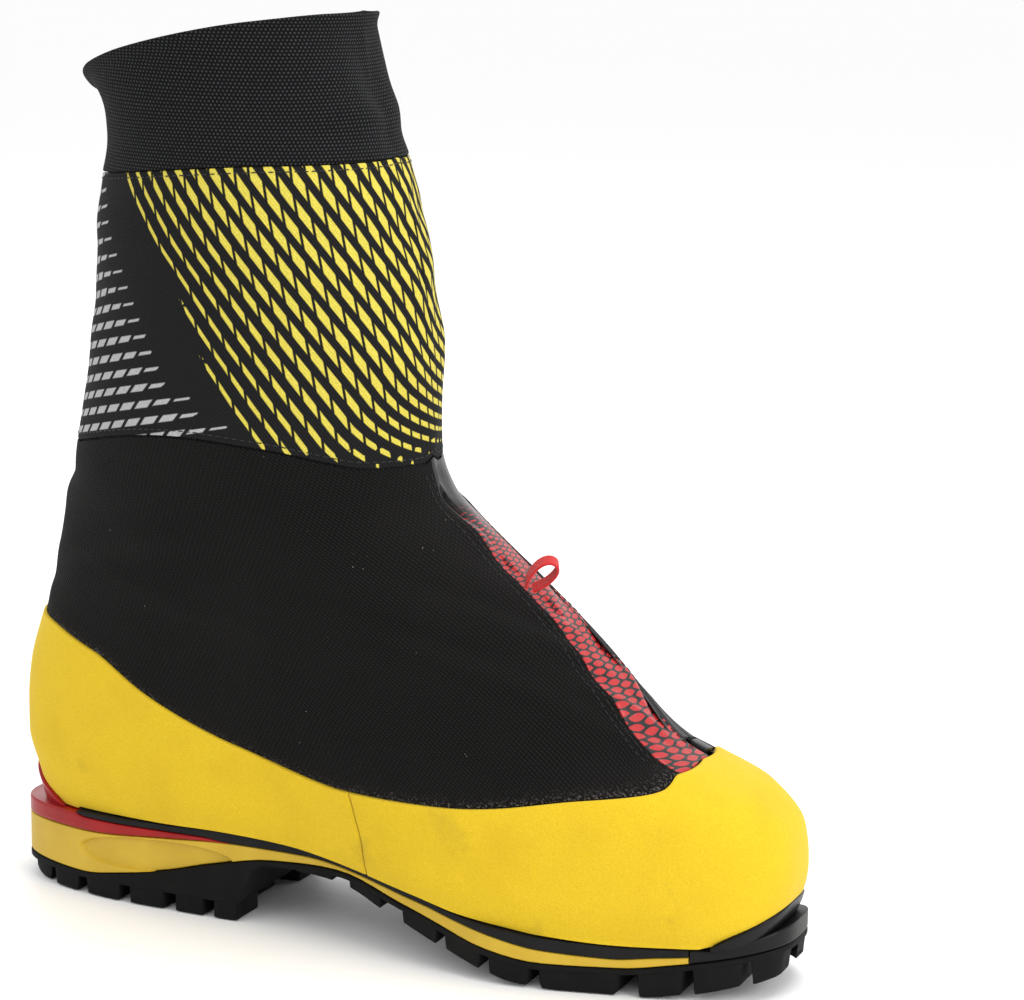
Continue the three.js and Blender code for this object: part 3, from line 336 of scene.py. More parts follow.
def shellPanel(name, paint, bottom, top, outer, inner, skin=gaiterSkin, left=None, right=None, size=(60, 30),
               edge=0.5, relief=None, floor=None, ring=False, marks=None, turned=None, **options):
    # the point at shares (s, t) has place = left + (right - left) s and z = bottom + (top - bottom) t;
    # the outer face lies at outer - edge rounding + relief(z, place), the inner face at inner
    columns, rows = size
    t = spaced(rows, (0.2 / rows, 0.5 / rows))
    if ring:
        s = np.arange(columns) / columns
        place, _ = np.meshgrid(2 * s, t)
        lines = t[:, None]
        z = mix(bottom(place), top(place), lines)
    else:
        s = spaced(columns, (0.2 / columns, 0.5 / columns))
        across, lines = np.meshgrid(s, t)
        place = np.ones_like(across)
        z = mix(bottom(place), top(place), lines)
        settlingRounds = 6  # place depends on height and height on place, so a few rounds settle both
        for _ in range(settlingRounds):
            place = mix(left(z), right(z), across)
            z = mix(bottom(place), top(place), lines)
    flat = skin(z, place)
    tall = np.linalg.norm(np.diff(flat, axis=0), axis=-1).sum(0).mean()
    fall = rounding(lines, tall, edge) * np.ones_like(place)
    if not ring:
        wide = np.linalg.norm(np.diff(flat, axis=1), axis=-1).sum(1).mean()
        fall = np.maximum(fall, rounding(across, wide, edge))
    lift = relief(z, place) if relief is not None else 0
    faces = [skin(z, place, outer - fall + lift), skin(z, place, inner + fall * 0.4 + lift)]
    if turned is not None:
        faces = [turned(grid, z, place) for grid in faces]
    if floor is not None:
        for grid in faces:
            grid[..., 2] = np.maximum(grid[..., 2], floor(grid[..., 0]) + 2 * gap)
    points, quads = closeShell(*faces, ring=ring)
    # cloth coordinates: arc length round the boot, and height, in metres
    line = gaiterPoint(z, place)
    run = np.linalg.norm(np.diff(line, axis=1, prepend=line[:, :1]), axis=-1)
    around = np.cumsum(run, axis=1) + clothStart(place[:, :1])
    cloth = np.stack([around, z], -1).reshape(-1, 2) * mm
    extra = {}
    for mark, value in (marks or {}).items():
        value = np.asarray(value(around, z, place)).ravel()
        # a share is how much of a print shows: none on the inner face
        inside = np.full_like(value, hidden) if mark.endswith("Share") else value
        extra[mark] = np.concatenate([value, inside])
    return newPiece(name, points, quads, paint, uv={"cloth": np.tile(cloth, (2, 1))}, marks=extra, **options)


def clothStart(place):
    # arc length from place 0 to this place at shaft height
    steps = np.linspace(0, 2, 401)
    line = gaiterPoint(np.full(401, 230.0), steps)
    return np.interp(place, steps, wayAlong(line))


# ---- materials ----
class Paint:
    # a node material: each method adds nodes and gives back the socket that carries the result
    def __init__(self, name, **sockets):
        self.material = bpy.data.materials.new(name)
        self.material.use_nodes = True
        self.tree = self.material.node_tree
        self.shader = self.tree.nodes["Principled BSDF"]
        for socket, value in sockets.items():
            self.shader.inputs[socket.replace("_", " ")].default_value = value
        self.coordinates = {}

    def node(self, kind, **settings):
        made = self.tree.nodes.new(kind)
        for key, value in settings.items():
            setattr(made, key, value)
        return made

    def feed(self, socket, value):
        if isinstance(value, bpy.types.NodeSocket):
            self.tree.links.new(value, socket)
        elif isinstance(value, tuple) and len(value) == 3 and len(socket.default_value) == 4:
            socket.default_value = (*value, 1)
        else:
            socket.default_value = value

    def calc(self, how, a, b=0.0, c=0.0):
        made = self.node("ShaderNodeMath", operation=how)
        for socket, value in zip(made.inputs, (a, b, c)):
            self.feed(socket, value)
        return made.outputs[0]

    def where(self, layer):
        # Object coordinates, or the piece's own UV map of that name, as a vector socket
        if layer not in self.coordinates:
            if layer == "object":
                self.coordinates[layer] = self.node("ShaderNodeTexCoord").outputs["Object"]
            else:
                self.coordinates[layer] = self.node("ShaderNodeUVMap", uv_map=layer).outputs[0]
        return self.coordinates[layer]

    def axes(self, layer):
        # the layer's separate x, y and z
        if layer + "Axes" not in self.coordinates:
            split = self.node("ShaderNodeSeparateXYZ")
            self.tree.links.new(self.where(layer), split.inputs[0])
            self.coordinates[layer + "Axes"] = split.outputs
        return self.coordinates[layer + "Axes"]

    def mark(self, name):
        return self.node("ShaderNodeAttribute", attribute_name=name).outputs["Fac"]

    def noise(self, scale, detail):
        made = self.node("ShaderNodeTexNoise")
        made.inputs["Scale"].default_value = scale
        made.inputs["Detail"].default_value = detail
        self.tree.links.new(self.where("object"), made.inputs["Vector"])
        return made.outputs["Fac"]

    def cells(self, scale):
        made = self.node("ShaderNodeTexVoronoi")
        made.inputs["Scale"].default_value = scale
        self.tree.links.new(self.where("object"), made.inputs["Vector"])
        return made.outputs["Distance"]

    def span(self, value, low, high, to=(0.0, 1.0)):
        # value from low..high to the given range, held at its ends
        made = self.node("ShaderNodeMapRange")
        for socket, v in zip(made.inputs, (value, low, high, *to)):
            self.feed(socket, v)
        return made.outputs[0]

    def blend(self, share, a, b):
        made = self.node("ShaderNodeMix", data_type="RGBA")
        self.feed(made.inputs[0], share)
        self.feed(made.inputs[6], a)
        self.feed(made.inputs[7], b)
        return made.outputs[2]

    def stripes(self, along, across, pitch, x, y):
        # 0.5 + 0.5 sin(2 pi (x along + y across) / pitch)
        run = self.calc("MULTIPLY_ADD", x, along / pitch, self.calc("MULTIPLY", y, across / pitch))
        wave = self.calc("SINE", self.calc("MULTIPLY", run, 2 * math.pi))
        return self.calc("MULTIPLY_ADD", wave, 0.5, 0.5)

    def colour(self, value):
        self.feed(self.shader.inputs["Base Color"], value)

    def rough(self, value, low, high):
        self.feed(self.shader.inputs["Roughness"], self.span(value, 0.0, 1.0, (low, high)))

    def relief(self, *layers):
        # each layer is (height socket, depth in metres); they are stacked one on the other
        normal = None
        for height, depth in layers:
            made = self.node("ShaderNodeBump")
            made.inputs["Distance"].default_value = depth
            self.tree.links.new(height, made.inputs["Height"])
            if normal is not None:
                self.tree.links.new(normal, made.inputs["Normal"])
            normal = made.outputs[0]
        self.tree.links.new(normal, self.shader.inputs["Normal"])
        return self.material


def randCloth():
    # yellow coated fabric with a short nap: fine grain, faint mottling, and a few dark scuffs near the sole
    p = Paint("randCloth", Roughness=0.88, Sheen_Weight=0.25, Sheen_Roughness=0.4, Specular_IOR_Level=0.25)
    p.shader.inputs["Sheen Tint"].default_value = (1.0, 0.86, 0.35, 1)
    grain = p.noise(2600, 3)
    mottle = p.noise(55, 4)
    colour = p.blend(p.span(grain, 0.3, 0.7), (0.56, 0.365, 0.009), (0.68, 0.475, 0.015))
    colour = p.blend(p.span(mottle, 0.45, 0.75, (0.0, 0.35)), colour, (0.52, 0.33, 0.010))
    height = p.axes("object")[2]
    low = p.span(height, 0.030, 0.075, (1.0, 0.0))
    scuff = p.calc("MULTIPLY", p.span(p.noise(38, 6), 0.62, 0.74), low)
    colour = p.blend(p.calc("MULTIPLY", scuff, 0.45), colour, (0.16, 0.11, 0.03))
    p.colour(colour)
    return p.relief((p.noise(900, 4), 0.00025), (grain, 0.00012))


def gaiterCloth():
    # black stretch fabric: a fine diagonal twill broken into short floats, with a little lint
    p = Paint("gaiterCloth", Roughness=0.85, Sheen_Weight=0.02, Sheen_Roughness=0.4, Specular_IOR_Level=0.08)
    x, y = p.axes("cloth")[:2]
    twill = p.stripes(0.62, 1.0, 0.00125, x, y)
    floats = p.stripes(1.0, -0.35, 0.0019, x, y)
    weave = p.calc("MULTIPLY", twill, p.span(floats, 0.1, 0.9, (0.45, 1.0)))
    colour = p.blend(p.span(weave, 0.15, 0.95), (0.003, 0.0028, 0.0027), (0.011, 0.0103, 0.0098))
    colour = p.blend(p.span(p.noise(16, 3), 0.35, 0.75, (0.0, 0.35)), colour, (0.012, 0.011, 0.0105))
    fibres = p.span(p.noise(1300, 3), 0.52, 0.66)
    colour = p.blend(p.calc("MULTIPLY", p.mark("fray"), fibres), colour, (0.13, 0.12, 0.11))
    lint = p.span(p.cells(230), 0.035, 0.055, (0.55, 0.0))
    keep = p.span(p.noise(95, 1), 0.60, 0.64)
    p.colour(p.blend(p.calc("MULTIPLY", lint, keep), colour, (0.42, 0.38, 0.33)))
    return p.relief((weave, 0.00022))


def printedCloth():
    # black stretch fabric printed with lozenges between two families of lines, yellow in front, silver behind
    p = Paint("shaftPrint", Roughness=0.7, Specular_IOR_Level=0.1)
    x, y = p.axes("cloth")[:2]
    weave = p.stripes(0.7, 0.7, 0.0009, x, y)
    cloth = p.blend(weave, (0.0045, 0.0045, 0.005), (0.011, 0.011, 0.0115))

    def lozenges(row, step, rowShare, stepShare, soft=0.06):
        across = p.calc("ABSOLUTE", p.calc("SUBTRACT", p.calc("FRACT", row), 0.5))
        along = p.calc("ABSOLUTE", p.calc("SUBTRACT", p.calc("FRACT", step), 0.5))
        a = p.span(p.calc("SUBTRACT", p.calc("MULTIPLY", rowShare, 0.5), across), -soft / 2, soft / 2)
        b = p.span(p.calc("SUBTRACT", stepShare * 0.5, along), -soft / 2, soft / 2)
        return p.calc("MULTIPLY", a, b)

    yellow = lozenges(p.mark("yellowRow"), p.mark("yellowStep"), p.mark("yellowShare"), 0.79)
    silver = lozenges(p.mark("silverRow"), p.mark("silverStep"), p.mark("silverShare"), 0.74)
    grain = p.noise(2200, 2)
    ink = p.blend(p.span(grain, 0.3, 0.7), (0.48, 0.40, 0.045), (0.62, 0.53, 0.085))
    foil = p.blend(p.span(grain, 0.3, 0.7), (0.29, 0.29, 0.29), (0.42, 0.42, 0.42))
    colour = p.blend(yellow, cloth, ink)
    p.colour(p.blend(silver, colour, foil))
    printed = p.calc("MAXIMUM", yellow, silver)
    p.rough(printed, 0.75, 0.5)
    return p.relief((weave, 0.00012), (printed, 0.00012), (grain, 0.00005))


def instepFilm():
    # glossy laminate on black fabric with red lens-shaped prints, which fade out up the instep:
    # a lens is |row| < share (1 - 3.5 shift^2), with row and shift as ways from the middle of its cell
    p = Paint("instepFilm", Roughness=0.3, Specular_IOR_Level=0.35, Coat_Weight=0.12, Coat_Roughness=0.22)
    shift = p.calc("SUBTRACT", p.calc("FRACT", p.mark("lensStep")), 0.5)
    slant = p.calc("ADD", p.mark("lensRow"), p.calc("MULTIPLY", shift, 0.5))
    row = p.calc("SUBTRACT", p.calc("FRACT", slant), 0.5)
    bow = p.calc("SUBTRACT", 1.0, p.calc("MULTIPLY", p.calc("MULTIPLY", shift, shift), 3.5))
    room = p.calc("SUBTRACT", p.calc("MULTIPLY", bow, p.mark("lensShare")), p.calc("ABSOLUTE", row))
    lens = p.span(room, -0.02, 0.04)
    grain = p.noise(1900, 2)
    red = p.blend(p.span(grain, 0.3, 0.7), (0.33, 0.011, 0.013), (0.45, 0.022, 0.025))
    dark = p.blend(grain, (0.005, 0.004, 0.004), (0.012, 0.010, 0.010))
    p.colour(p.blend(lens, dark, red))
    p.rough(p.noise(60, 3), 0.24, 0.42)
    return p.relief((p.noise(130, 3), 0.0006), (lens, 0.00010), (grain, 0.00006))


def collarKnit():
    # black knit with rows of small grey loops, each row shifted by half a loop
    p = Paint("collarKnit", Roughness=0.9, Sheen_Weight=0.02, Sheen_Roughness=0.5, Specular_IOR_Level=0.08)
    x, y = p.axes("cloth")[:2]
    pitch, rowPitch = 0.0015, 0.00123
    row = p.calc("MULTIPLY", y, 1 / rowPitch)
    odd = p.calc("MULTIPLY", p.calc("MODULO", p.calc("FLOOR", row), 2.0), 0.5)
    across = p.calc("SUBTRACT", p.calc("FRACT", p.calc("ADD", p.calc("MULTIPLY", x, 1 / pitch), odd)), 0.5)
    along = p.calc("SUBTRACT", p.calc("FRACT", row), 0.5)
    length = p.calc("SQRT", p.calc("ADD", p.calc("MULTIPLY", across, across),
                                   p.calc("MULTIPLY", p.calc("MULTIPLY", along, along), 0.7)))
    dot = p.span(length, 0.17, 0.30, (1.0, 0.0))
    uneven = p.span(p.noise(700, 2), 0.3, 0.7, (0.5, 1.0))
    loop = p.span(length, 0.0, 0.62, (1.0, 0.0))
    p.colour(p.blend(p.calc("MULTIPLY", dot, uneven), (0.0035, 0.0035, 0.004), (0.046, 0.048, 0.050)))
    return p.relief((loop, 0.00035), (p.noise(2600, 2), 0.00008))


def moulded(name, colour, light, roughness=(0.4, 0.6), grain=1400, depth=0.00006, stain=None, **sockets):
    # moulded rubber, foam or plastic: two near shades in soft clouds, a fine grain, uneven gloss
    p = Paint(name, **sockets)
    clouds = p.noise(70, 4)
    fine = p.noise(grain, 3)
    paint = p.blend(p.span(clouds, 0.3, 0.7), colour, light)
    if stain:
        paint = p.blend(p.span(p.noise(26, 6), 0.58, 0.75, (0.0, stain[1])), paint, stain[0])
    p.colour(paint)
    p.rough(p.noise(160, 3), *roughness)
    return p.relief((p.noise(240, 2), depth * 2), (fine, depth))


def woven(name, dark, light, pitch=0.0009, layer="cloth", depth=0.0002, ribs=1.0, **sockets):
    # plain weave: over and under threads as the product of two stripes, each thread slightly uneven
    p = Paint(name, **{"Roughness": 0.8, "Sheen_Weight": 0.1, "Specular_IOR_Level": 0.25, **sockets})
    x, y = p.axes(layer)[:2]
    warp = p.stripes(1.0, 0.0, pitch, x, y)
    weft = p.stripes(0.0, 1.0, pitch * ribs, x, y)
    over = p.calc("ABSOLUTE", p.calc("SUBTRACT", warp, weft))
    thread = p.span(p.noise(1500, 2), 0.25, 0.75, (0.55, 1.0))
    p.colour(p.blend(p.calc("MULTIPLY", over, thread), dark, light))
    return p.relief((over, depth), (p.noise(3000, 2), depth * 0.3))


def felted(name, dark, light, grain=1100, depth=0.0003, **sockets):
    # felt or fleece: fibres as stretched fine noise over soft clouds
    p = Paint(name, **{"Roughness": 0.95, "Sheen_Weight": 0.3, "Specular_IOR_Level": 0.15, **sockets})
    fibres = p.noise(grain, 5)
    paint = p.blend(p.span(fibres, 0.3, 0.7), dark, light)
    p.colour(p.blend(p.span(p.noise(90, 3), 0.4, 0.8, (0.0, 0.4)), paint, dark))
    return p.relief((fibres, depth))


def braided(name, dark, light):
    # a braid: two crossing helices on the cord's own coordinates (turns round it, length along it)
    p = Paint(name, Roughness=0.75, Sheen_Weight=0.1, Specular_IOR_Level=0.3)
    x, y = p.axes("cloth")[:2]
    strands, strandPitch, fleckPitch = 6.0, 0.0026, 0.009
    one = p.stripes(strands, 1 / strandPitch, 1.0, x, y)
    two = p.stripes(strands, -1 / strandPitch, 1.0, x, y)
    strand = p.calc("MAXIMUM", one, two)
    fleck = p.span(p.calc("MULTIPLY", one, p.stripes(2.0, 1 / fleckPitch, 1.0, x, y)), 0.75, 0.85)
    p.colour(p.blend(fleck, p.blend(strand, dark, light), (0.30, 0.30, 0.30)))
    return p.relief((strand, 0.0003))


paints = {
    "rand": randCloth(),
    "gaiter": gaiterCloth(),
    "print": printedCloth(),
    "instep": instepFilm(),
    "collar": collarKnit(),
    "rubber": moulded("soleRubber", (0.003, 0.003, 0.0032), (0.0055, 0.0055, 0.0058), (0.55, 0.75), 1800,
                      0.00005, stain=((0.014, 0.013, 0.011), 0.4), Specular_IOR_Level=0.1),
    "wedge": moulded("wedgeFoam", (0.47, 0.30, 0.012), (0.53, 0.35, 0.020), (0.42, 0.55), 2400, 0.00005,
                     stain=((0.34, 0.21, 0.02), 0.3), Specular_IOR_Level=0.4),
    "frame": moulded("framePlastic", (0.005, 0.005, 0.0055), (0.009, 0.009, 0.0095), (0.45, 0.6), 1500,
                     0.00003, Specular_IOR_Level=0.14),
    "heel": moulded("heelPlastic", (0.24, 0.003, 0.004), (0.31, 0.005, 0.006), (0.28, 0.4), 900, 0.00002,
                    Coat_Weight=0.12, Coat_Roughness=0.15, Specular_IOR_Level=0.2),
    "toe": moulded("toePlastic", (0.0028, 0.0028, 0.003), (0.0052, 0.0052, 0.0055), (0.34, 0.46), 900,
                   0.00002, Coat_Weight=0.06, Coat_Roughness=0.15, Specular_IOR_Level=0.14),
    "redWebbing": woven("redWebbing", (0.42, 0.004, 0.004), (0.80, 0.014, 0.012), 0.0008, Sheen_Weight=0.2),
    "thread": woven("seamThread", (0.008, 0.008, 0.008), (0.03, 0.03, 0.03), 0.0004, "object", 0.00005),
    "tape": woven("zipTape", (0.008, 0.008, 0.009), (0.028, 0.028, 0.03), 0.0008, Roughness=0.6),
    "teeth": moulded("zipTeeth", (0.008, 0.008, 0.009), (0.018, 0.018, 0.02), (0.25, 0.4), 2000, 0.00002),
    "metal": moulded("sliderEnamel", (0.03, 0.03, 0.033), (0.05, 0.05, 0.055), (0.2, 0.35), 1600, 0.00002,
                     Metallic=0.85),
    "puller": moulded("pullerPlastic", (0.012, 0.012, 0.013), (0.022, 0.022, 0.024), (0.4, 0.55), 1300,
                      0.00005),
    "elastic": woven("hemElastic", (0.008, 0.008, 0.008), (0.03, 0.03, 0.032), 0.0013, ribs=0.5),
    "innerCloth": woven("innerCloth", (0.018, 0.02, 0.026), (0.060, 0.066, 0.080), 0.0011),
    "lining": felted("liningFleece", (0.070, 0.072, 0.078), (0.165, 0.17, 0.18)),
    "tongue": woven("tongueCloth", (0.024, 0.027, 0.034), (0.07, 0.076, 0.09), 0.0014),
    "cuff": woven("cuffKnit", (0.008, 0.008, 0.010), (0.032, 0.032, 0.036), 0.0012, ribs=1.6, depth=0.0003),
    "stiffener": moulded("stiffenerSheet", (0.52, 0.49, 0.41), (0.66, 0.63, 0.54), (0.5, 0.65), 1600,
                         0.00004),
    "board": moulded("boardCarbon", (0.012, 0.012, 0.013), (0.035, 0.035, 0.038), (0.25, 0.4), 1100, 0.00004),
    "footbed": felted("footbedFelt", (0.035, 0.038, 0.045), (0.095, 0.10, 0.115), 1500),
    "lace": braided("laceBraid", (0.16, 0.008, 0.008), (0.42, 0.02, 0.02)),
    "laceWebbing": woven("laceWebbing", (0.03, 0.032, 0.038), (0.11, 0.115, 0.13), 0.0008),
    "lock": moulded("lockPlastic", (0.008, 0.008, 0.009), (0.018, 0.018, 0.019), (0.35, 0.5), 1200, 0.00003),
    "button": moulded("buttonPlastic", (0.48, 0.010, 0.010), (0.62, 0.022, 0.02), (0.25, 0.35), 1200,
                      0.00002),
    "tabWebbing": woven("tabWebbing", (0.20, 0.004, 0.006), (0.45, 0.014, 0.018), 0.0009, "object"),
}
print("materials made:", len(paints))


# ---- sole ----
soleInner = through([(0, 36), (.12, 36), (.25, 33), (.42, 30), (.58, 42), (.7, 49), (.82, 46), (1, 44)])
soleOuter = through([(0, 38), (.12, 38), (.25, 38), (.42, 42), (.58, 52), (.7, 56), (.82, 52), (1, 36)])
tread = through([(-155, 4), (-141, 0), (-48, 0), (-30, 23), (-8, 22), (18, 15.5), (33, 11), (50, 6),
                 (68, 1.2), (84, 0), (110, 0), (133, 2.8), (153, 7.1), (160, 8.6)])
rubberTop = through([(-155, 9.5), (-120, 8.2), (-100, 11), (-82, 14.5), (-62, 20), (-37, 25.2), (-8, 26.4),
                     (23, 20.8), (38, 17), (56, 12), (78, 9), (105, 9.7), (123, 12.2), (138, 14.7),
                     (160, 19)])
wedgeTop = through([(-155, 24.4), (-120, 24.6), (-82, 27.4), (-53, 29.4), (-24, 29.2), (-8, 28.2),
                    (28, 23.4), (47, 19.4), (60, 16.8), (78, 13.8), (102, 12.9), (116, 14.4), (129, 15.6)])
frameTop = through([(-155, 31.3), (-135, 31.3), (-120, 31.9), (-82, 32.9), (-57, 33.8), (-30, 32.9),
                    (-10, 31), (28, 26), (47, 22), (64, 19.8), (79, 18.4), (101, 17.8), (127, 18.4)])
heelInsertTop = through([(-155, 31), (-124, 31), (-118, 30), (-54, 30.6)])
sole = {"base": 2.2, "lug": 6.5, "lean": 0.8, "wedgeEnd": 128.4, "frameBack": -122.0, "insertEnd": -54.0,
        "toeBack": 129.0, "toeFront": 160.0, "toeLow": 16.1, "toeHigh": 26.1, "heelSeat": 31.0, "edge": 0.9,
        "lugEdge": 0.7, "lugSink": 0.8, "roundness": 0.62, "ledgeBack": -66.0, "ledgeBlend": 12.0}
cups = {"reach": 0.26, "outer": 2.7, "inner": 1.2, "heelFoot": 30.0, "heelLip": 2.0, "heelRise": 15.0,
        "toeLip": 1.4, "toeRise": 9.0, "edge": 0.7}
groove = {"back": -121.0, "front": -52.0, "low": 13.6, "high": 26.2, "depth": 1.6, "tilt": 0.30}
lugs = {
    # start, end, way in from the sole's edge, width on the inner side, width on the outer side
    "edge": [(-149, -137, 2, 9, 9), (-134.5, -121, 0, 17, 17), (-118, -101, 0, 17, 17), (-98, -81, 0, 17, 17),
             (-78, -64, 0, 17, 17), (-61.5, -50, 0, 17, 17), (-27, -10, 0, 12, 14), (-3, 13, 0, 12, 14),
             (22, 38, 0, 20, 22), (40.5, 56, 0, 20, 22), (58.5, 74, 0, 20, 22), (77, 105, 0, 20, 22),
             (111, 127, 0, 18, 18), (129.5, 146, 0, 18, 18), (148, 157, 0, 9, 9)],
    # start, end, middle line, width
    "middle": [(-130, -112, 1, 23), (-106, -88, 1, 23), (-82, -56, 1, 23), (30, 46, 0, 22), (50, 66, 0, 22),
               (70, 86, 0, 22), (90, 103, 0, 22), (112, 124, 1, 22), (128, 140, 1, 22)],
}


def toePlane(x):
    return mix(sole["toeLow"], sole["toeHigh"], (x - sole["toeBack"]) / (sole["toeFront"] - sole["toeBack"]))


def seat(x):
    # what the upper stands on: heel ledge, frame, then the sloping toe ledge
    front = np.where(x < sole["toeBack"], frameTop(x), np.maximum(frameTop(x), toePlane(x)))
    return np.where(x < sole["frameBack"], sole["heelSeat"], front)


def outline(inset):
    # half widths (inner, outer) of the sole at x, times (2 sqrt(u (1 - u)))^roundness
    def sides(x):
        u = np.clip((x - heelEnd) / soleLength, 0, 1)
        bow = (2 * np.sqrt(u * (1 - u))) ** sole["roundness"]
        return (inset - soleInner(u)) * bow, (soleOuter(u) - inset) * bow
    return sides


def stations(x0, x1, count):
    # cosine spacing, so that rounded ends get more sections
    return mix(x0, x1, (1 - np.cos(np.pi * np.linspace(0, 1, count))) / 2)


def soleBody(x, sides, bottom, top, radius=0.6, ends=0.0, rows=6, dent=None):
    # one section at each x: up the inner wall, and down the outer wall, with corner arcs of the radius;
    # the end sections shrink by ends (1 - sqrt(1 - t^2)), t = 1 - way to the end / ends
    low, high = sides(x)
    zLow, zHigh = bottom(x), top(x)
    d = np.minimum(x - x[0], x[-1] - x)
    t = np.clip(1 - d / max(ends, 1e-6), 0, 1)
    shrink = ends * (1 - np.sqrt(1 - t * t))
    low, high, zLow, zHigh = low + shrink, high - shrink, zLow + shrink, zHigh - shrink
    r = np.maximum(np.minimum(radius, np.minimum((high - low) / 2, (zHigh - zLow) / 2) * 0.9), 0)[:, None]
    arc = np.linspace(0, np.pi / 2, 4)[None]
    share = np.linspace(0, 1, rows + 1)[None, 1:-1]
    low, high, zLow, zHigh = (v[:, None] for v in (low, high, zLow, zHigh))
    zWall = mix(zLow + r, zHigh - r, share)
    inset = [r * (1 - np.sin(arc)), np.zeros_like(zWall), r * (1 - np.cos(arc))]
    z = np.concatenate([zLow + r * (1 - np.cos(arc)), zWall, zHigh - r * (1 - np.sin(arc))], 1)
    inset = np.concatenate(inset, 1)
    if dent is not None:
        inset = inset + dent(x[:, None], z)
    y = np.concatenate([low + inset, (high - inset)[:, ::-1]], 1)
    z = np.concatenate([z, z[:, ::-1]], 1)
    points = np.stack([x[:, None] * np.ones_like(y), y, z], -1)
    n, k = y.shape
    faces = [gridFaces(n, k, ring=True)]
    j = np.arange(k // 2 - 1)
    cap = np.stack([j, j + 1, k - 2 - j, k - 1 - j], -1)
    faces += [cap, (n - 1) * k + cap[:, ::-1]]
    return points.reshape(-1, 3), np.concatenate(faces)


def together(parts):
    # several closed bodies as one list of points and faces
    points, faces, start = [], [], 0
    for p, f in parts:
        points.append(p)
        faces.append(f + start)
        start += len(p)
    return np.concatenate(points), np.concatenate(faces)


def lugBody(x0, x1, width, side=0, depth=0, centre=None):
    # a block of the tread, at a side of the sole or on a middle line, whose walls lean in towards the ground
    x = stations(x0, x1, 9)

    def sides(at):
        if centre is not None:
            mid = np.full_like(at, centre)
            return mid - width / 2, mid + width / 2
        inner, outer = outline(0)(at)
        near = (outer if side > 0 else inner) - side * (gap + 0.1 + depth)
        far = near - side * width
        return np.minimum(near, far), np.maximum(near, far)

    root = lambda at: rubberTop(at) - sole["base"]
    body, faces = soleBody(x, sides, tread, lambda at: root(at) + sole["lugSink"], sole["lugEdge"],
                           sole["edge"], 4)
    top = root(body[:, 0])
    lean = sole["lean"] * np.clip((top - body[:, 2]) / sole["lug"], 0, 1)
    middle, half = (x0 + x1) / 2, (x1 - x0) / 2
    body[:, 0] = middle + (body[:, 0] - middle) * (1 - lean / half)
    return body, faces


def makeOutsole():
    under = lambda x: rubberTop(x) - sole["base"]
    base = lambda x: np.minimum(under(x), mix(sole["lug"], under(x), smooth((x + 50) / 7)))
    parts = [soleBody(stations(heelEnd, toeEnd, 150), outline(0), base, rubberTop, sole["lugEdge"], rows=5)]
    for x0, x1, depth, *widths in lugs["edge"]:
        parts += [lugBody(x0, x1, width, side, depth) for side, width in zip((-1, 1), widths)]
    parts += [lugBody(x0, x1, width, centre=centre) for x0, x1, centre, width in lugs["middle"]]
    points, faces = together(parts)
    points[:, 2] = np.maximum(points[:, 2], 0)
    newPiece("outsoleRubber", points, faces, paints["rubber"], stands="outsole", merge=0.004, sharp=50)


def makeMidsole():
    def lens(x, z):
        # the groove: depth times the smooth step of 1 - (way along)^2.4 - (way up - tilt * way along)^2
        a = (x - (groove["back"] + groove["front"]) / 2) / ((groove["front"] - groove["back"]) / 2)
        b = (z - (groove["low"] + groove["high"]) / 2) / ((groove["high"] - groove["low"]) / 2)
        return groove["depth"] * smooth((1 - np.abs(a) ** 2.4 - (b - groove["tilt"] * a) ** 2) / 0.12)

    x = np.unique(np.concatenate([stations(heelEnd, sole["wedgeEnd"], 70), np.linspace(-124, -49, 120)]))
    low = lambda at: rubberTop(at) + gap
    newPiece("midsoleWedge", *soleBody(x, outline(0.5), low, wedgeTop, 0.5, rows=40, dent=lens),
             paints["wedge"], stands="midsole_wedge", merge=0.004, sharp=50)
    x = stations(sole["frameBack"], sole["wedgeEnd"], 120)
    share = lambda at: smooth((at - sole["ledgeBack"]) / sole["ledgeBlend"])
    ledgeTop = lambda at: np.maximum(wedgeTop(at), mix(heelInsertTop(at), wedgeTop(at), share(at)))
    under = lambda at: np.where(at < -42, ledgeTop(at), wedgeTop(at)) + gap
    newPiece("weltFrame", *soleBody(x, outline(0.2), under, frameTop, 0.5, rows=4), paints["frame"],
             stands="welt_frame", merge=0.004, sharp=50)
    fade = lambda at: mix(heelInsertTop(at), wedgeTop(at) + 0.5, share(at))
    return soleBody(stations(heelEnd, sole["insertEnd"], 90), outline(0.1), lambda at: wedgeTop(at) + gap,
                    lambda at: np.maximum(fade(at), wedgeTop(at) + 0.5), sole["edge"], rows=5)


def cupGrid(middle, bottom, top, columns=60, rows=14):
    # a curved wall round the heel or the toe between two offsets of the gaiter's surface
    s, t = np.meshgrid(spaced(columns, (0.1 / columns, 0.4 / columns)),
                       spaced(rows, (0.15 / rows, 0.5 / rows)))
    place = mix(middle - cups["reach"], middle + cups["reach"], s)
    z = mix(bottom(place), top(place), t)
    fall = np.maximum(rounding(t, 14, cups["edge"]), rounding(s, 60, cups["edge"]))
    return closeShell(gaiterSkin(z, place, cups["outer"] - fall), gaiterSkin(z, place, cups["inner"]))


def arch(p, middle, power):
    # |cos(pi/2 (p - middle) / reach)|^power: one at the middle of a cup, nought at its two ends
    return np.abs(np.cos(np.clip((p - middle) / cups["reach"], -1, 1) * np.pi / 2)) ** power


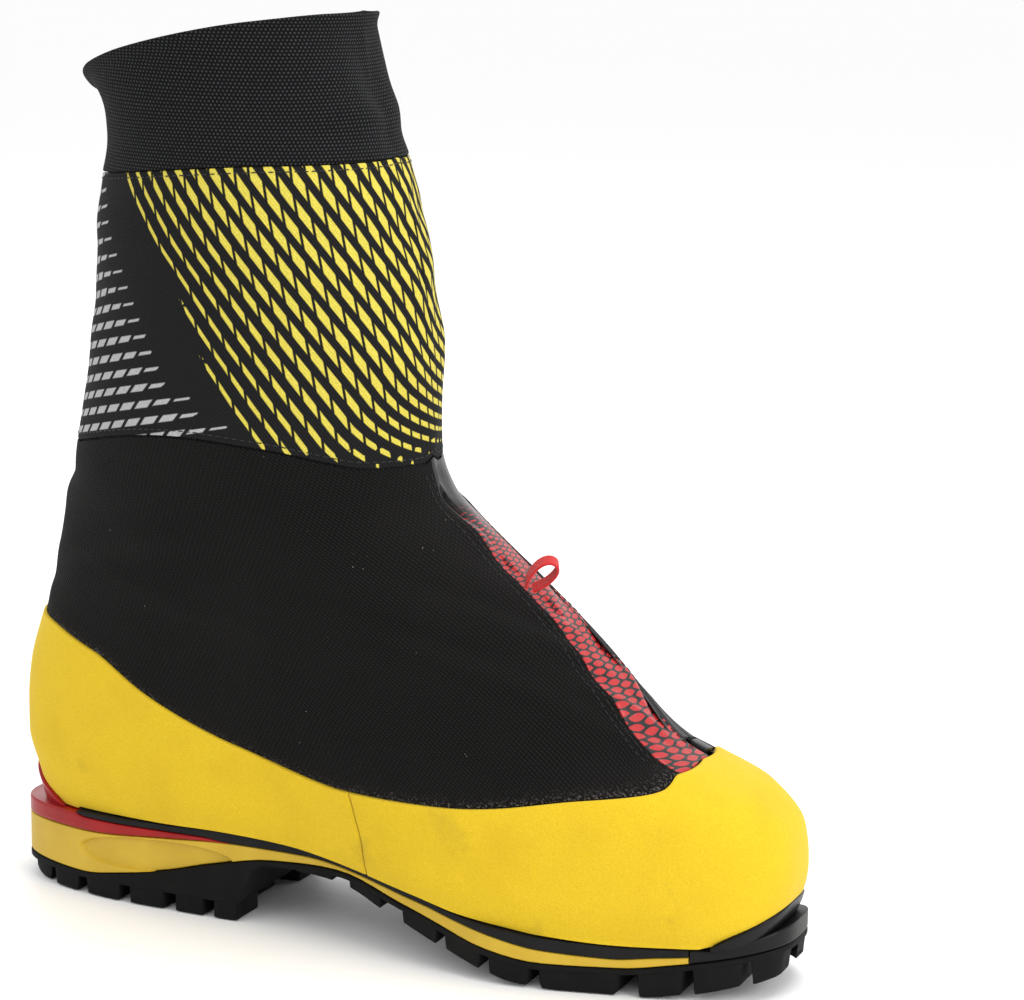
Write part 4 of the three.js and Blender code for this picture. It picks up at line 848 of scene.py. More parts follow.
def makeInserts():
    heelLedge = makeMidsole()
    rise = lambda p: cups["heelFoot"] + cups["heelLip"] + cups["heelRise"] * arch(p, 0, 0.8)
    cup = cupGrid(0, always(cups["heelFoot"]), rise)
    newPiece("heelInsert", *together([heelLedge, cup]), paints["heel"], stands="heel_insert", merge=0.004,
             sharp=50)
    toeLedge = soleBody(stations(sole["toeBack"], toeEnd, 70), outline(0.1), lambda x: rubberTop(x) + gap,
                        seat, sole["edge"], rows=6)
    base = lambda p: toePlane(gaiterPoint(28, p)[..., 0]) - 1
    bumper = cupGrid(1, base, lambda p: base(p) + cups["toeLip"] + cups["toeRise"] * arch(p, 1, 0.45))
    newPiece("toeInsert", *together([toeLedge, bumper]), paints["toe"], stands="toe_insert", merge=0.004,
             sharp=50)


makeOutsole()
makeInserts()
print("sole made")


# ---- gaiter ----
randTop = byPlace([(0, 107), (.259, 104), (.355, 97), (.409, 83), (.45, 70), (.502, 60.5), (.55, 61.5),
                   (.631, 69), (.72, 73), (.8, 77), (1, 78)])
printBottom = byPlace([(0, 173), (.271, 175), (.49, 185), (.56, 183), (.7, 175.5), (.876, 175), (1, 177)])
collarSeam = byPlace([(0, 271), (.33, 275), (.6, 281.5), (1, 283)])
panelEdge = through([(70, .8), (105, .836), (132, .895), (150, .925), (165, .955), (180, .96)])
zipPlace = through([(76, 1.16), (105, 1.22), (135, 1.29), (160, 1.345), (185, 1.37), (285, 1.37)])
upper = {"randSeam": 0.503, "seam": gap / 240, "zipHalf": 9.3, "zipSlit": 1.6, "rimBack": 31, "rimFront": 51}


def rim(place):
    # the collar's top edge over its seam
    share = smooth((1 - np.abs((place % 2) - 1)) / 0.75)
    return collarSeam(place) + mix(upper["rimBack"], upper["rimFront"], share)


def besideZip(side):
    def edge(z):
        # zipPlace + side * zipHalf / slant / |around|: the zip crosses each height at a slant
        middle = zipPlace(z)
        around = directions(z, middle)[0]
        along = unit(gaiterPoint(z + 1, zipPlace(z + 1)) - gaiterPoint(z - 1, zipPlace(z - 1)))
        slant = np.linalg.norm(np.cross(along, unit(around)), axis=-1)
        return middle + side * upper["zipHalf"] / slant / np.linalg.norm(around, axis=-1)
    return edge


folds = [  # middle, width, height, slope, thickness, size
    (0.30, 0.16, 128, 60, 5.0, -1.3), (0.36, 0.15, 140, 75, 5.5, 1.2), (0.52, 0.14, 112, -120, 6.0, 1.2),
    (0.60, 0.12, 122, -110, 5.0, -1.4), (0.66, 0.12, 106, -150, 5.5, 1.3), (0.78, 0.10, 118, -90, 5.0, 1.2),
    (0.74, 0.10, 130, -80, 4.5, -1.2), (0.12, 0.14, 150, 40, 6.0, 1.0), (0.20, 0.15, 163, -30, 5.0, -0.9),
    (0.88, 0.10, 96, -60, 4.0, 1.6), (0.90, 0.12, 87, -50, 3.5, -1.0), (0.86, 0.10, 107, -40, 4.0, -1.1),
    (0.94, 0.12, 121, -30, 4.5, 1.2), (0.95, 0.12, 150, 0, 5.0, 1.3), (0.97, 0.14, 141, 0, 4.0, -1.0),
    (0.97, 0.14, 163, 10, 4.5, -1.1), (0.50, 0.20, 196, 20, 7.0, 0.8), (0.70, 0.16, 214, -40, 8.0, 0.9),
    (0.25, 0.18, 226, 30, 8.0, -0.8), (0.92, 0.14, 236, -20, 7.0, 1.0), (0.85, 0.16, 258, 25, 6.0, -0.9),
    (0.40, 0.20, 254, -25, 7.0, 0.9),
]
outerFoldShift = 7.0  # the outer side's folds lie a little higher


def creases(z, place):
    # each fold is a bump along a line z = height + slope * (place - middle), faded to its sides;
    # folds fade out above the rand, under the collar, and beside the zip
    side = 1 - np.abs((place % 2) - 1)
    moved = np.where((place % 2) > 1, outerFoldShift, 0.0)
    height = sum(size * bump(side, middle, width) * bump(z, level + moved + slope * (side - middle), thick)
                 for middle, width, level, slope, thick, size in folds)
    soft = 0.35 * np.sin(z / 9 + 7 * side) * np.sin(side * 19 + z / 23)
    fade = smooth((z - randTop(place) - 1) / 9) * smooth((collarSeam(place) - z) / 8)
    clear = 1 - bump((place % 2) - zipPlace(z), 0, 0.075)
    return (height + soft) * fade * clear


def aboveRand(place):
    return randTop(place) + gap


def belowPrint(place):
    return printBottom(place) - 2 * gap


def makeRands():
    # the rand is drawn down over the sole's edge, and swells a little above it and over the toe
    foot = lambda p: seat(gaiterPoint(30, p)[..., 0]) + 2 * gap
    swell = lambda z, p: (0.5 * bump(z, foot(p) + 9, 7) - 0.25 * bump(z, foot(p) + 1, 2.5)
                          + 1.9 * bump(p % 2, 1, 0.22) * bump(z, 47, 17)
                          + 0.35 * np.sin(z / 3.1 + 9 * (p % 2 - 1) ** 2)
                          * bump(p % 2, 0.86, 0.10) * bump(z, 62, 9))
    half, join = upper["randSeam"], 0.4 * upper["seam"]  # the two rands butt at mid foot
    for name, node, left, right, size in (("heelRand", "heel_rand", -half, half - join, (220, 60)),
                                          ("toeRand", "toe_rand", half, 2 - half - join, (240, 50))):
        shellPanel(name, paints["rand"], foot, randTop, 0.9, -1.5, left=always(left), right=always(right),
                   size=size, floor=seat, edge=0.45, relief=swell, stands=node)


def makeSides():
    seam = upper["seam"]
    frayed = {"fray": lambda s, z, p: np.exp(-(z - aboveRand(p)) / 1.1)}  # loose fibres along the lower edge
    for name, node, left, right, size in (
            ("gaiterInnerSide", "gaiter_inner_side", always(seam), lambda z: panelEdge(z) - seam, (170, 110)),
            ("gaiterOuterSide", "gaiter_outer_side", besideZip(1), always(2 - seam), (150, 100))):
        shellPanel(name, paints["gaiter"], aboveRand, belowPrint, 0, -1.2, left=left, right=right, size=size,
                   relief=creases, stands=node, marks=frayed)


lensPrint = {"step": (-3.2, 5.5), "row": (-3.5, -2.5), "start": 70, "smallest": 0.62, "share": 0.41,
             "shrinkFrom": 20, "shrinkOver": 110, "fadeFrom": 118, "fadeOver": 45}


def makeInstep():
    # length = way up the front line from the height start; prints shrink with it, to the smallest scale
    rise = np.linspace(60, 200, 141)
    length = wayAlong(gaiterPoint(rise, 1.0))
    length -= np.interp(lensPrint["start"], rise, length)
    ways = np.linspace(-60, 240, 301)
    scale = mix(1, lensPrint["smallest"], smooth((ways - lensPrint["shrinkFrom"]) / lensPrint["shrinkOver"]))
    shrunk = np.concatenate([[0], np.cumsum(np.diff(ways) / scale[1:])])

    def field(z, place):
        # (t, y) = step * (a, b) + row * (c, d), t along the front line and both shrunk upwards
        at = np.interp(z, rise, length)
        t = np.interp(at, ways, shrunk)
        y = gaiterPoint(z, place)[..., 1] / np.interp(at, ways, scale)
        (a, b), (c, d) = lensPrint["step"], lensPrint["row"]
        area = a * d - b * c
        share = mix(lensPrint["share"], -0.1, smooth((at - lensPrint["fadeFrom"]) / lensPrint["fadeOver"]))
        return {"lensRow": (a * y - b * t) / area, "lensStep": (d * t - c * y) / area, "lensShare": share}

    marks = {mark: lambda s, z, p, mark=mark: field(z, p)[mark]
             for mark in ("lensRow", "lensStep", "lensShare")}
    shellPanel("instepPanel", paints["instep"], aboveRand, belowPrint, 0, -1.0, relief=creases,
               left=lambda z: panelEdge(z) + upper["seam"], right=besideZip(-1), size=(90, 130),
               stands="instep_panel", marks=marks)


# the prints' edges, as arc length s at a height z, and their families of lines: (a s + b z) / pitch
yellowEdge = through([(180, 121), (193, 110.5), (210.5, 98.6), (224.5, 89.6), (243.5, 78.3), (258, 66),
                      (274.5, 45.5)])
silverEdge = through([(190, 109), (198, 95), (208, 83), (218, 75), (228.5, 64), (239, 55), (271.5, 38)])
printLines = {"yellowRow": (0.734, 0.679, 5.2), "yellowStep": (0.955, 0.295, 4.7),
              "silverRow": (-0.21, 1.0, 6.3), "silverStep": (0.85, -0.53, 6.2)}


def lineAt(family, s, z):
    a, b, pitch = printLines[family]
    return (a * s + b * z) / pitch


def yellowRow(s, z):
    # the yellow rows bend forward: row = (b - bend(r)) / pitch, r = the way across them from where they bend,
    # bend = r^2 / 104 up to r = 68 and straight from there
    alongS, alongZ, pitch = printLines["yellowRow"]
    r = np.maximum(alongZ * s - alongS * z + 40, 0)
    bend = np.where(r < 68, r * r / 104, 68 * 68 / 104 + 1.3 * (r - 68))
    return (alongS * s + alongZ * z - bend) / pitch


def cellMiddle(s, z, row, step, colour):
    # the middle of the lozenge that holds this point: each lozenge is printed whole or left out
    (a, b, rowPitch), (c, d, stepPitch) = printLines[colour + "Row"], printLines[colour + "Step"]
    a, b, c, d = a / rowPitch, b / rowPitch, c / stepPitch, d / stepPitch
    toRow, toStep = np.floor(row) + 0.5 - row, np.floor(step) + 0.5 - step
    area = a * d - b * c
    return s + (d * toRow - b * toStep) / area, z + (a * toStep - c * toRow) / area


def yellowShare(s, z, p):
    s, z = cellMiddle(s, z, yellowRow(s, z), lineAt("yellowStep", s, z), "yellow")
    past = s - yellowEdge(z)
    low = smooth((212 - z) / 30) * smooth((s - 128) / 30)
    value = mix(0.24, 0.5, smooth(past / 50)) * mix(1, 0.7, low)
    end = smooth((z - 180) / 3 + (1 - smooth((p % 2 - 0.86) / 0.05)))
    return np.where((past < 0) | (end < 0.5), hidden, value)


def silverShare(s, z, p):
    s, z = cellMiddle(s, z, lineAt("silverRow", s, z), lineAt("silverStep", s, z), "silver")
    past = silverEdge(z) - s
    return np.where(past < 0, hidden, mix(0.12, 0.42, smooth(past / 25)))


def makeShaft():
    # each print is worked out on the way round from the heel, which runs backwards on the outer side
    fields = {"yellowRow": lambda s, z, p: yellowRow(s, z), "yellowShare": yellowShare,
              "yellowStep": lambda s, z, p: lineAt("yellowStep", s, z),
              "silverRow": lambda s, z, p: lineAt("silverRow", s, z), "silverShare": silverShare,
              "silverStep": lambda s, z, p: lineAt("silverStep", s, z)}
    back = {mark: lambda s, z, p, field=field: field(s.max(1, keepdims=True) - s, z, p)
            for mark, field in fields.items()}
    heel, end = always(upper["seam"]), always(2 - upper["seam"])
    for name, node, left, right, columns, marks in (
            ("shaftPanelInner", "shaft_panel_inner_side", heel, besideZip(-1), 240, fields),
            ("shaftPanelOuter", "shaft_panel_outer_side", besideZip(1), end, 120, back)):
        shellPanel(name, paints["print"], printBottom, collarSeam, 0, -1.0, left=left, right=right,
                   size=(columns, 90), relief=creases, marks=marks, stands=node)


collarFolds = {"lean": 9.5, "lift": 4.5, "curl": 2.2, "roll": 1.5, "sway": 1.3}


def collarShape(grid, z, place):
    # the back of the rim leans out and folds over into a lip; the whole rim rolls slightly outwards,
    # and the knit creases softly above its seam
    share = np.clip((z - collarSeam(place)) / (rim(place) - collarSeam(place)), 0, 1)
    side = 1 - np.sqrt(((place % 2) - 1) ** 2 + 0.004)
    out = directions(z, place)[2]
    back = bump(side, 0, 0.34)
    lean = collarFolds["lean"] * back * smooth((share - 0.5) / 0.5) ** 1.3
    roll = collarFolds["roll"] * smooth((share - 0.88) / 0.12)
    waves = collarFolds["sway"] * np.sin(side * 17 + 3 * share) * np.sin(np.pi * share) * (1 - back)
    folds = (-1.5 * bump(share, 0.10 + 0.25 * (1 - side), 0.10) * bump(side, 0.95, 0.22)
             + 1.3 * bump(share, 0.28 + 0.2 * (1 - side), 0.12) * bump(side, 0.9, 0.2)
             - 1.6 * bump(share, 0.25, 0.16) * bump(side, 0.02, 0.16))
    grid = grid + out * (lean + roll + waves + folds)[..., None]
    lip = smooth((share - 0.82) / 0.18)
    lift = collarFolds["lift"] * smooth((share - 0.4) / 0.42)
    grid[..., 2] += (lift - collarFolds["curl"] * lip) * back
    return grid


def makeCollar():
    shellPanel("collar", paints["collar"], lambda p: collarSeam(p) + gap, rim, 0.3, -1.5, size=(220, 40),
               ring=True, turned=collarShape, edge=0.8, stands="collar")
    shellPanel("collarElastic", paints["elastic"], lambda p: rim(p) - 12, lambda p: rim(p) - 3, -1.8, -3.0,
               size=(160, 8), ring=True, turned=collarShape, edge=0.3, stands="collar_elastic")


makeRands()
makeSides()
makeInstep()
makeShaft()
makeCollar()
print("gaiter made")


# ---- narrow pieces: strips, cords, stitches ----
def sweep(centres, across, outward, section, closed=False):
    # section (k, 2) is carried along the path: point = centre + a * across + b * outward
    a, b = section[None, :, :1], section[None, :, 1:]
    rings = centres[:, None] + a * across[:, None] + b * outward[:, None]
    n, k = rings.shape[:2]
    faces = [gridFaces(n, k, ring=True)]
    if closed:
        last = gridFaces(2, k, ring=True)
        last = np.where(last < k, last + (n - 1) * k, last - k)
        faces.append(last)
    else:
        j = np.arange(k // 2 - 1)
        cap = np.stack([j, j + 1, k - 2 - j, k - 1 - j], -1)
        faces += [cap[:, ::-1], (n - 1) * k + cap]
    return rings.reshape(-1, 3), np.concatenate(faces), wayAlong(centres)


def flatSection(width, thickness, r=0.3, low=0.0):
    # a flat strip with rounded edges, listed so that point j faces point k - 1 - j
    a = np.array([-width / 2 + r, -width / 4, 0, width / 4, width / 2 - r])
    under = np.stack([a, np.full(5, low)], -1)
    over = np.stack([a[::-1], np.full(5, low + thickness)], -1)
    right = [[width / 2, low + r], [width / 2, low + thickness - r]]
    left = [[-width / 2, low + r]], [[-width / 2, low + thickness - r]]
    return np.concatenate([left[0], under, right, over, left[1]])


def roundSection(radius, sides):
    angle = 2 * np.pi * (np.arange(sides) + 0.5) / sides
    return np.stack([np.sin(angle), -np.cos(angle)], -1) * radius


def sectionUV(section, run, flat):
    # across the strip, or turns round a cord, beside the way along it
    turn = section[:, 0] * mm if flat else np.arange(len(section)) / len(section)
    u, v = np.meshgrid(turn, run * mm)
    return np.stack([u, v], -1).reshape(-1, 2)


def smoothPath(points, count):
    # centripetal Catmull-Rom through the points, then even steps of arc length
    p = np.concatenate([[2 * points[0] - points[1]], points, [2 * points[-1] - points[-2]]])
    knots = np.concatenate([[0], np.cumsum(np.linalg.norm(np.diff(p, axis=0), axis=-1) ** 0.5)])
    t = np.concatenate([np.linspace(knots[i], knots[i + 1], 24, endpoint=False) for i in range(1, len(p) - 2)]
                       + [knots[-2:-1]])
    i = np.clip(np.searchsorted(knots, t, side="right") - 1, 1, len(p) - 3)
    t0, t1, t2, t3 = (knots[i + d][:, None] for d in (-1, 0, 1, 2))
    p0, p1, p2, p3 = (p[i + d] for d in (-1, 0, 1, 2))
    t = t[:, None]
    a1 = ((t1 - t) * p0 + (t - t0) * p1) / (t1 - t0)
    a2 = ((t2 - t) * p1 + (t - t1) * p2) / (t2 - t1)
    a3 = ((t3 - t) * p2 + (t - t2) * p3) / (t3 - t2)
    b1 = ((t2 - t) * a1 + (t - t0) * a2) / (t2 - t0)
    b2 = ((t3 - t) * a2 + (t - t1) * a3) / (t3 - t1)
    return evenly(((t2 - t) * b1 + (t - t1) * b2) / (t2 - t1), count)


def evenly(path, count):
    run = wayAlong(path)
    return pointsAt(np.linspace(0, run[-1], count), run, path)


def copies(template, faces, centres, x, y, z):
    # one small shape at each centre, on that centre's own axes
    points = (centres[:, None] + template[None, :, :1] * x[:, None] + template[None, :, 1:2] * y[:, None]
              + template[None, :, 2:] * z[:, None])
    shift = np.arange(len(centres))[:, None, None] * len(template)
    return points.reshape(-1, 3), (faces[None] + shift).reshape(-1, faces.shape[1])


def beadShape(length, width, height):
    # a short rounded six-sided bar lying along x, which dips a little below z = 0
    share = np.array([-1, -0.86, -0.5, 0, 0.5, 0.86, 1])
    size = np.array([0.25, 0.7, 0.98, 1, 0.98, 0.7, 0.25])
    sides, middle = 6, 0.3 * height
    ring = roundSection(0.5, sides)
    points = np.stack([np.repeat(share * length / 2, sides), np.outer(size, ring[:, 0] * width).ravel(),
                       np.outer(size, ring[:, 1] * height).ravel() + middle], -1)
    cap = np.array([[0, 1, 4, 5], [1, 2, 3, 4]])
    last = (len(size) - 1) * sides
    return points, np.concatenate([gridFaces(len(size), sides, ring=True), cap[:, ::-1], last + cap])


stitch = {"pitch": 3.0, "length": 2.1, "width": 0.42, "height": 0.336, "lift": 0.05, "look": 0.4}


def stitchRow(name, z, place):
    # thread stitches along a line on the creased gaiter, evenly spaced by arc length
    path = np.concatenate([gaiterSkin(z, place, stitch["lift"] + creases(z, place)),
                           directions(z, place)[2]], 1)
    run = wayAlong(path[:, :3])
    at = np.arange(stitch["pitch"] / 2, run[-1], stitch["pitch"])
    here = pointsAt(at, run, path)
    before, after = (pointsAt(at + step, run, path[:, :3]) for step in (-stitch["look"], stitch["look"]))
    centres, ahead, out = here[:, :3], unit(after - before), unit(here[:, 3:])
    side = unit(np.cross(out, ahead))
    bead = beadShape(stitch["length"], stitch["width"], stitch["height"])
    points, faces = copies(*bead, centres, ahead, side, out)
    newPiece(name, points, faces, paints["thread"], sharp=180)


def makeSeamTapes():
    # narrow tapes welded behind the gaiter's seams, which keep them dark and tight
    tape = {"outer": -1.65, "inner": -2.15, "edge": 0.15, "relief": creases}
    runs = (("shaftSeamTape", printBottom, 0.0, 1.32), ("shaftSeamTapeOuter", printBottom, 1.43, 2.0),
            ("collarSeamTape", collarSeam, 0.0, 2.0), ("randEdgeTape", randTop, 0.0, 1.13),
            ("randEdgeTapeOuter", randTop, 1.2, 2.0))
    for name, line, left, right in runs:
        shellPanel(name, paints["elastic"], lambda p: line(p) - 4, lambda p: line(p) + 5, left=always(left),
                   right=always(right), size=(160, 6), **tape)
    shellPanel("panelSeamTape", paints["elastic"], lambda p: randTop(p) + 2, lambda p: printBottom(p) - 1,
               left=lambda z: panelEdge(z) - 0.03, right=lambda z: panelEdge(z) + 0.03, size=(8, 120), **tape)
    shellPanel("heelSeamTape", paints["elastic"], always(100.0), always(268.0), left=always(-0.03),
               right=always(0.03), size=(10, 120), **tape)


def makeStitches():
    z = np.linspace(80, 173, 160)
    for k, shift in enumerate((2.2, 4.4)):
        back = shift / np.linalg.norm(directions(z, panelEdge(z))[0], axis=-1)
        place = panelEdge(z) - back
        keep = (z > randTop(place) + 4) & (z < printBottom(place) - 3)
        stitchRow(f"panelSeamStitch{k}", z[keep], place[keep])
    for end, place in (("", np.linspace(0.03, 1.29, 400)), ("Outer", np.linspace(1.45, 1.97, 160))):
        stitchRow("shaftSeamStitch" + end, printBottom(place) + 2.2, place)
        stitchRow("collarSeamStitch" + end, collarSeam(place) - 2.0, place)
    z = np.linspace(80, 272, 200)
    for k, side in enumerate((-1, 1)):
        place = zipPlace(z) + (besideZip(side)(z) - zipPlace(z)) * 1.22
        stitchRow(f"zipStitch{k}", z, place)
    z = np.linspace(112, 268, 200)
    stitchRow("heelSeamStitch", z, np.full(200, 0.018))


# ---- zip ----
zipLine = {"top": np.array([-20.37, 37.39, 276.68]), "bend": np.array([-11.98, 38.82, 188.0]), "pitch": 1.9,
           "sideAt": 232.3, "sewnFrom": 7.2, "sewnBy": 8.8, "sink": 0.1, "under": 1.5, "thick": 0.85,
           "thinner": 0.35, "rounding": 0.12}
# how far each line along a tape lies from the middle of the slit
tapeLines = [upper["zipSlit"] / 2, upper["zipSlit"] / 2 + 0.2, 2.5, 4.5, 6.5, 7.6, 8.3, 9.0, 10.5, 12.2]
tooth = {"length": 2.3, "width": 1.35, "height": 1.5, "out": 1.6, "sink": 2.95, "first": 6, "offset": 0.95}


def zipRoute(top, bottom, count):
    # straight beside the shaft, then on the gaiter's surface; out is at right angles to the line
    z = np.linspace(top, bottom, count)
    bend = zipLine["bend"][2]
    straight = (z >= bend)[:, None]
    share = ((zipLine["top"][2] - z) / (zipLine["top"][2] - bend))[:, None]
    point = np.where(straight, mix(zipLine["top"], zipLine["bend"], share), gaiterPoint(z, zipPlace(z)))
    around = unit(directions(np.where(z >= bend, zipLine["sideAt"], z), zipPlace(z))[0])
    ahead = unit(np.gradient(point, axis=0))
    side = unit(around - ahead * (around * ahead).sum(-1, keepdims=True))
    return point, side, -unit(np.cross(ahead, side)), ahead


def makeZip():
    count = 120
    point, side, out, ahead = zipRoute(zipLine["top"][2], float(randTop(1.16)) + 4, count)
    away = directions(np.full(count, 232.0), np.full(count, 1.37))[2]
    out = out * np.sign((out * away).sum(-1).mean())
    for name, sign in (("Front", -1), ("Rear", 1)):
        # the tape's outer edge bends down and is sewn under the panels
        a = sign * np.array(tapeLines)
        sewn = smooth((np.abs(a) - zipLine["sewnFrom"]) / (zipLine["sewnBy"] - zipLine["sewnFrom"]))
        high = -zipLine["sink"] - zipLine["under"] * sewn
        low = high - zipLine["thick"] + zipLine["thinner"] * sewn
        high[[0, -1]] -= zipLine["rounding"]
        low[[0, -1]] += zipLine["rounding"]
        section = np.concatenate([np.stack([a, low], -1), np.stack([a, high], -1)[::-1]])
        points, faces, run = sweep(point, side, out, section)
        newPiece("zipTape" + name, points, faces, paints["tape"], stands="zip_tape_" + name.lower(),
                 uv={"cloth": sectionUV(section, run, True)}, merge=0.002)
        # teeth: small blocks whose heads lean over the middle of the slit, the rear row half a step on
        at = np.arange(tooth["first"] + (tooth["offset"] if sign > 0 else 0), run[-1], zipLine["pitch"])
        middle, across, on, outward = (pointsAt(at, run, v) for v in (point, side, ahead, out))
        centres = middle + across * sign * tooth["out"] - outward * tooth["sink"]
        axes = unit(across), unit(on), unit(outward)
        points, faces = copies(*beadShape(tooth["length"], tooth["width"], tooth["height"]), centres, *axes)
        newPiece("zipTeeth" + name, points, faces, paints["teeth"], stands="zip_teeth_" + name.lower(),
                 merge=0.002)


# ---- finger loop ----
fingerLoop = {"root": (54.5095, -7.395, 133.2343), "out": (0.6105, -0.1321, 0.7809), "length": 15.0,
              "opening": 6.2, "width": 4.8, "thickness": 1.0, "standOff": 1.6, "turn": 38}


def bezier(p0, p1, p2, p3, t):
    return (1 - t) ** 3 * p0 + 3 * (1 - t) ** 2 * t * p1 + 3 * (1 - t) * t * t * p2 + t ** 3 * p3


def makeFingerLoop():
    # a strap folded into a teardrop: two cubic curves, out along its lower side and back along its upper side
    out = np.array(fingerLoop["out"])
    along = unit(np.array([0.62, 0, 0.5]) + 0.9 * out)
    width = unit(np.array([0, 1, 0]) - along * along[1])
    thick = unit(np.cross(along, width))
    turn = math.radians(fingerLoop["turn"])  # the strap lies over on its side, about its own middle line
    thick = thick * math.cos(turn) + np.cross(along, thick) * math.sin(turn)
    a, h = fingerLoop["length"] - fingerLoop["thickness"] / 2, fingerLoop["opening"] / 2 + 0.5
    upperSide = np.array([(a, 0), (a, h * 1.3), (a * 0.4, h * 1.35), (0.4, h * 0.42)])
    t = np.linspace(0, 1, 24)[:, None]
    low = bezier(*upperSide[::-1] * (1, -1), t)
    flat = np.concatenate([low, bezier(*upperSide, t)[1:]])
    centres = (np.array(fingerLoop["root"]) + along * fingerLoop["standOff"] + flat[:, :1] * along
               + flat[:, 1:] * thick)
    ahead = unit(np.gradient(centres, axis=0))
    side = np.tile(np.cross(along, thick), (len(centres), 1))
    section = flatSection(fingerLoop["width"], fingerLoop["thickness"], 0.28, -fingerLoop["thickness"] / 2)
    points, faces, run = sweep(centres, side, np.cross(ahead, side), section)
    newPiece("fingerLoop", points, faces, paints["redWebbing"], body="loop", stands="finger_loop",
             uv={"cloth": sectionUV(section, run, True)}, merge=0.002)


# ---- inner boot ----
inner = {"throat": 0.24, "start": 100.0, "top": 180.0, "quarter": 2.4, "lining": 2.0, "tongue": 4.0,
         "cuff": 16.0, "rise": 22.0, "stiffener": 1.1, "heelReach": 0.326, "toeReach": 0.171, "board": 1.8,
         "rows": 4, "rowInset": 12, "loopPlace": 0.035}
lacing = {"bore": 5.4, "wall": 1.2, "width": 6.0, "rise": 5.8, "diameter": 3.0, "tail": 181.0,
          "tailLength": 44.0, "apart": 6.4, "tailRise": 3.0, "over": 0.9, "under": 2.9,
          "straight": 1.8, "turnIn": 2.4}


def makeInnerBoot():
    boardTop = lambda x: seat(x) + gap + inner["board"]
    foot = lambda p: boardTop(gaiterPoint(34, p)[..., 0]) + 2 * gap
    half = inner["throat"]
    wall = {"skin": innerSkin, "floor": boardTop}
    run = {"left": always(half - 1), "right": always(1 - half), "top": always(inner["top"]), **wall}
    quilt = lambda z, p: (0.35 * np.abs(np.sin(z / 11 * np.pi / 2)) - 0.35) * smooth((z - 60) / 20)
    shellPanel("innerQuarters", paints["innerCloth"], bottom=foot, outer=0, inner=-inner["quarter"],
               size=(150, 60), relief=quilt, edge=0.9, stands="inner_quarters", **run)
    shellPanel("innerVamp", paints["innerCloth"], bottom=foot, top=always(inner["start"]), outer=0,
               inner=-inner["quarter"], left=always(1 - half + 0.012), right=always(1 + half - 0.012),
               size=(60, 40), edge=0.9, stands="inner_vamp", **wall)
    outerFace = -inner["quarter"] - gap
    innerFace = outerFace - inner["lining"]
    shellPanel("innerLining", paints["lining"], bottom=foot, outer=outerFace, inner=innerFace,
               size=(120, 40), relief=quilt, edge=0.6, stands="inner_lining", **run)
    tongueFace = innerFace - 5 * gap
    ribs = lambda z, p: -0.7 * np.abs(np.sin((z - 100) / 13 * np.pi)) ** 6 * smooth((z - 100) / 10)
    tongue = shellPanel("innerTongue", paints["tongue"], always(inner["start"] - 16),
                        always(inner["top"] + inner["rise"]), tongueFace, tongueFace - inner["tongue"],
                        skin=innerSkin, left=always(1 - half - 0.05), right=always(1 + half + 0.05),
                        size=(60, 90), edge=1.8, relief=ribs, stands="inner_tongue")
    cuff = shellPanel("innerCuff", paints["cuff"], always(inner["top"] + gap),
                      always(inner["top"] + inner["cuff"]), 0.4, innerFace - 0.6, skin=innerSkin,
                      left=always(half - 0.93), right=always(0.93 - half), size=(150, 16), edge=2.0,
                      stands="inner_cuff")
    for name, node, high, share, middle, reach, size in (
            ("heelCounter", "heel_counter", inner["top"], 0.4, 0, inner["heelReach"], (80, 30)),
            ("toePuff", "toe_puff", inner["start"], 0.6, 1, inner["toeReach"], (50, 20))):
        shellPanel(name, paints["stiffener"], foot, lambda p: mix(foot(p), high, share),
                   0.65 + inner["stiffener"], 0.65, edge=0.4, left=always(middle - reach),
                   right=always(middle + reach), size=size, stands=node, **wall)


def loopPlace(side):
    return 1 + side * (inner["throat"] + inner["loopPlace"])


def loopHeight(row):
    # the rows are spread evenly between the two ends of the throat, set in from both
    share = row / (inner["rows"] - 1)
    return mix(inner["start"] + inner["rowInset"], inner["top"] - inner["rowInset"], share)


def loopSeat(row, side):
    # up the throat, out of the skin, and the centre of the webbing loop
    z, place = np.array([loopHeight(row)]), np.array([loopPlace(side)])
    _, up, out = directions(z, place, innerSkin)
    return up[0], out[0], innerSkin(z, place)[0] + out[0] * lacing["rise"]


def tailPoint(side, along):
    # a point on a free end of the lace, which runs straight up the tongue
    low, high = innerSkin(np.array([lacing["tail"], lacing["tail"] + 30]), np.ones(2))
    up = (high - low) * (1, 0, 1)
    base = innerSkin(np.array([lacing["tail"]]), np.ones(1), lacing["tailRise"])[0]
    return base + unit(up) * along + np.array([0, side * lacing["apart"] / 2, 0])


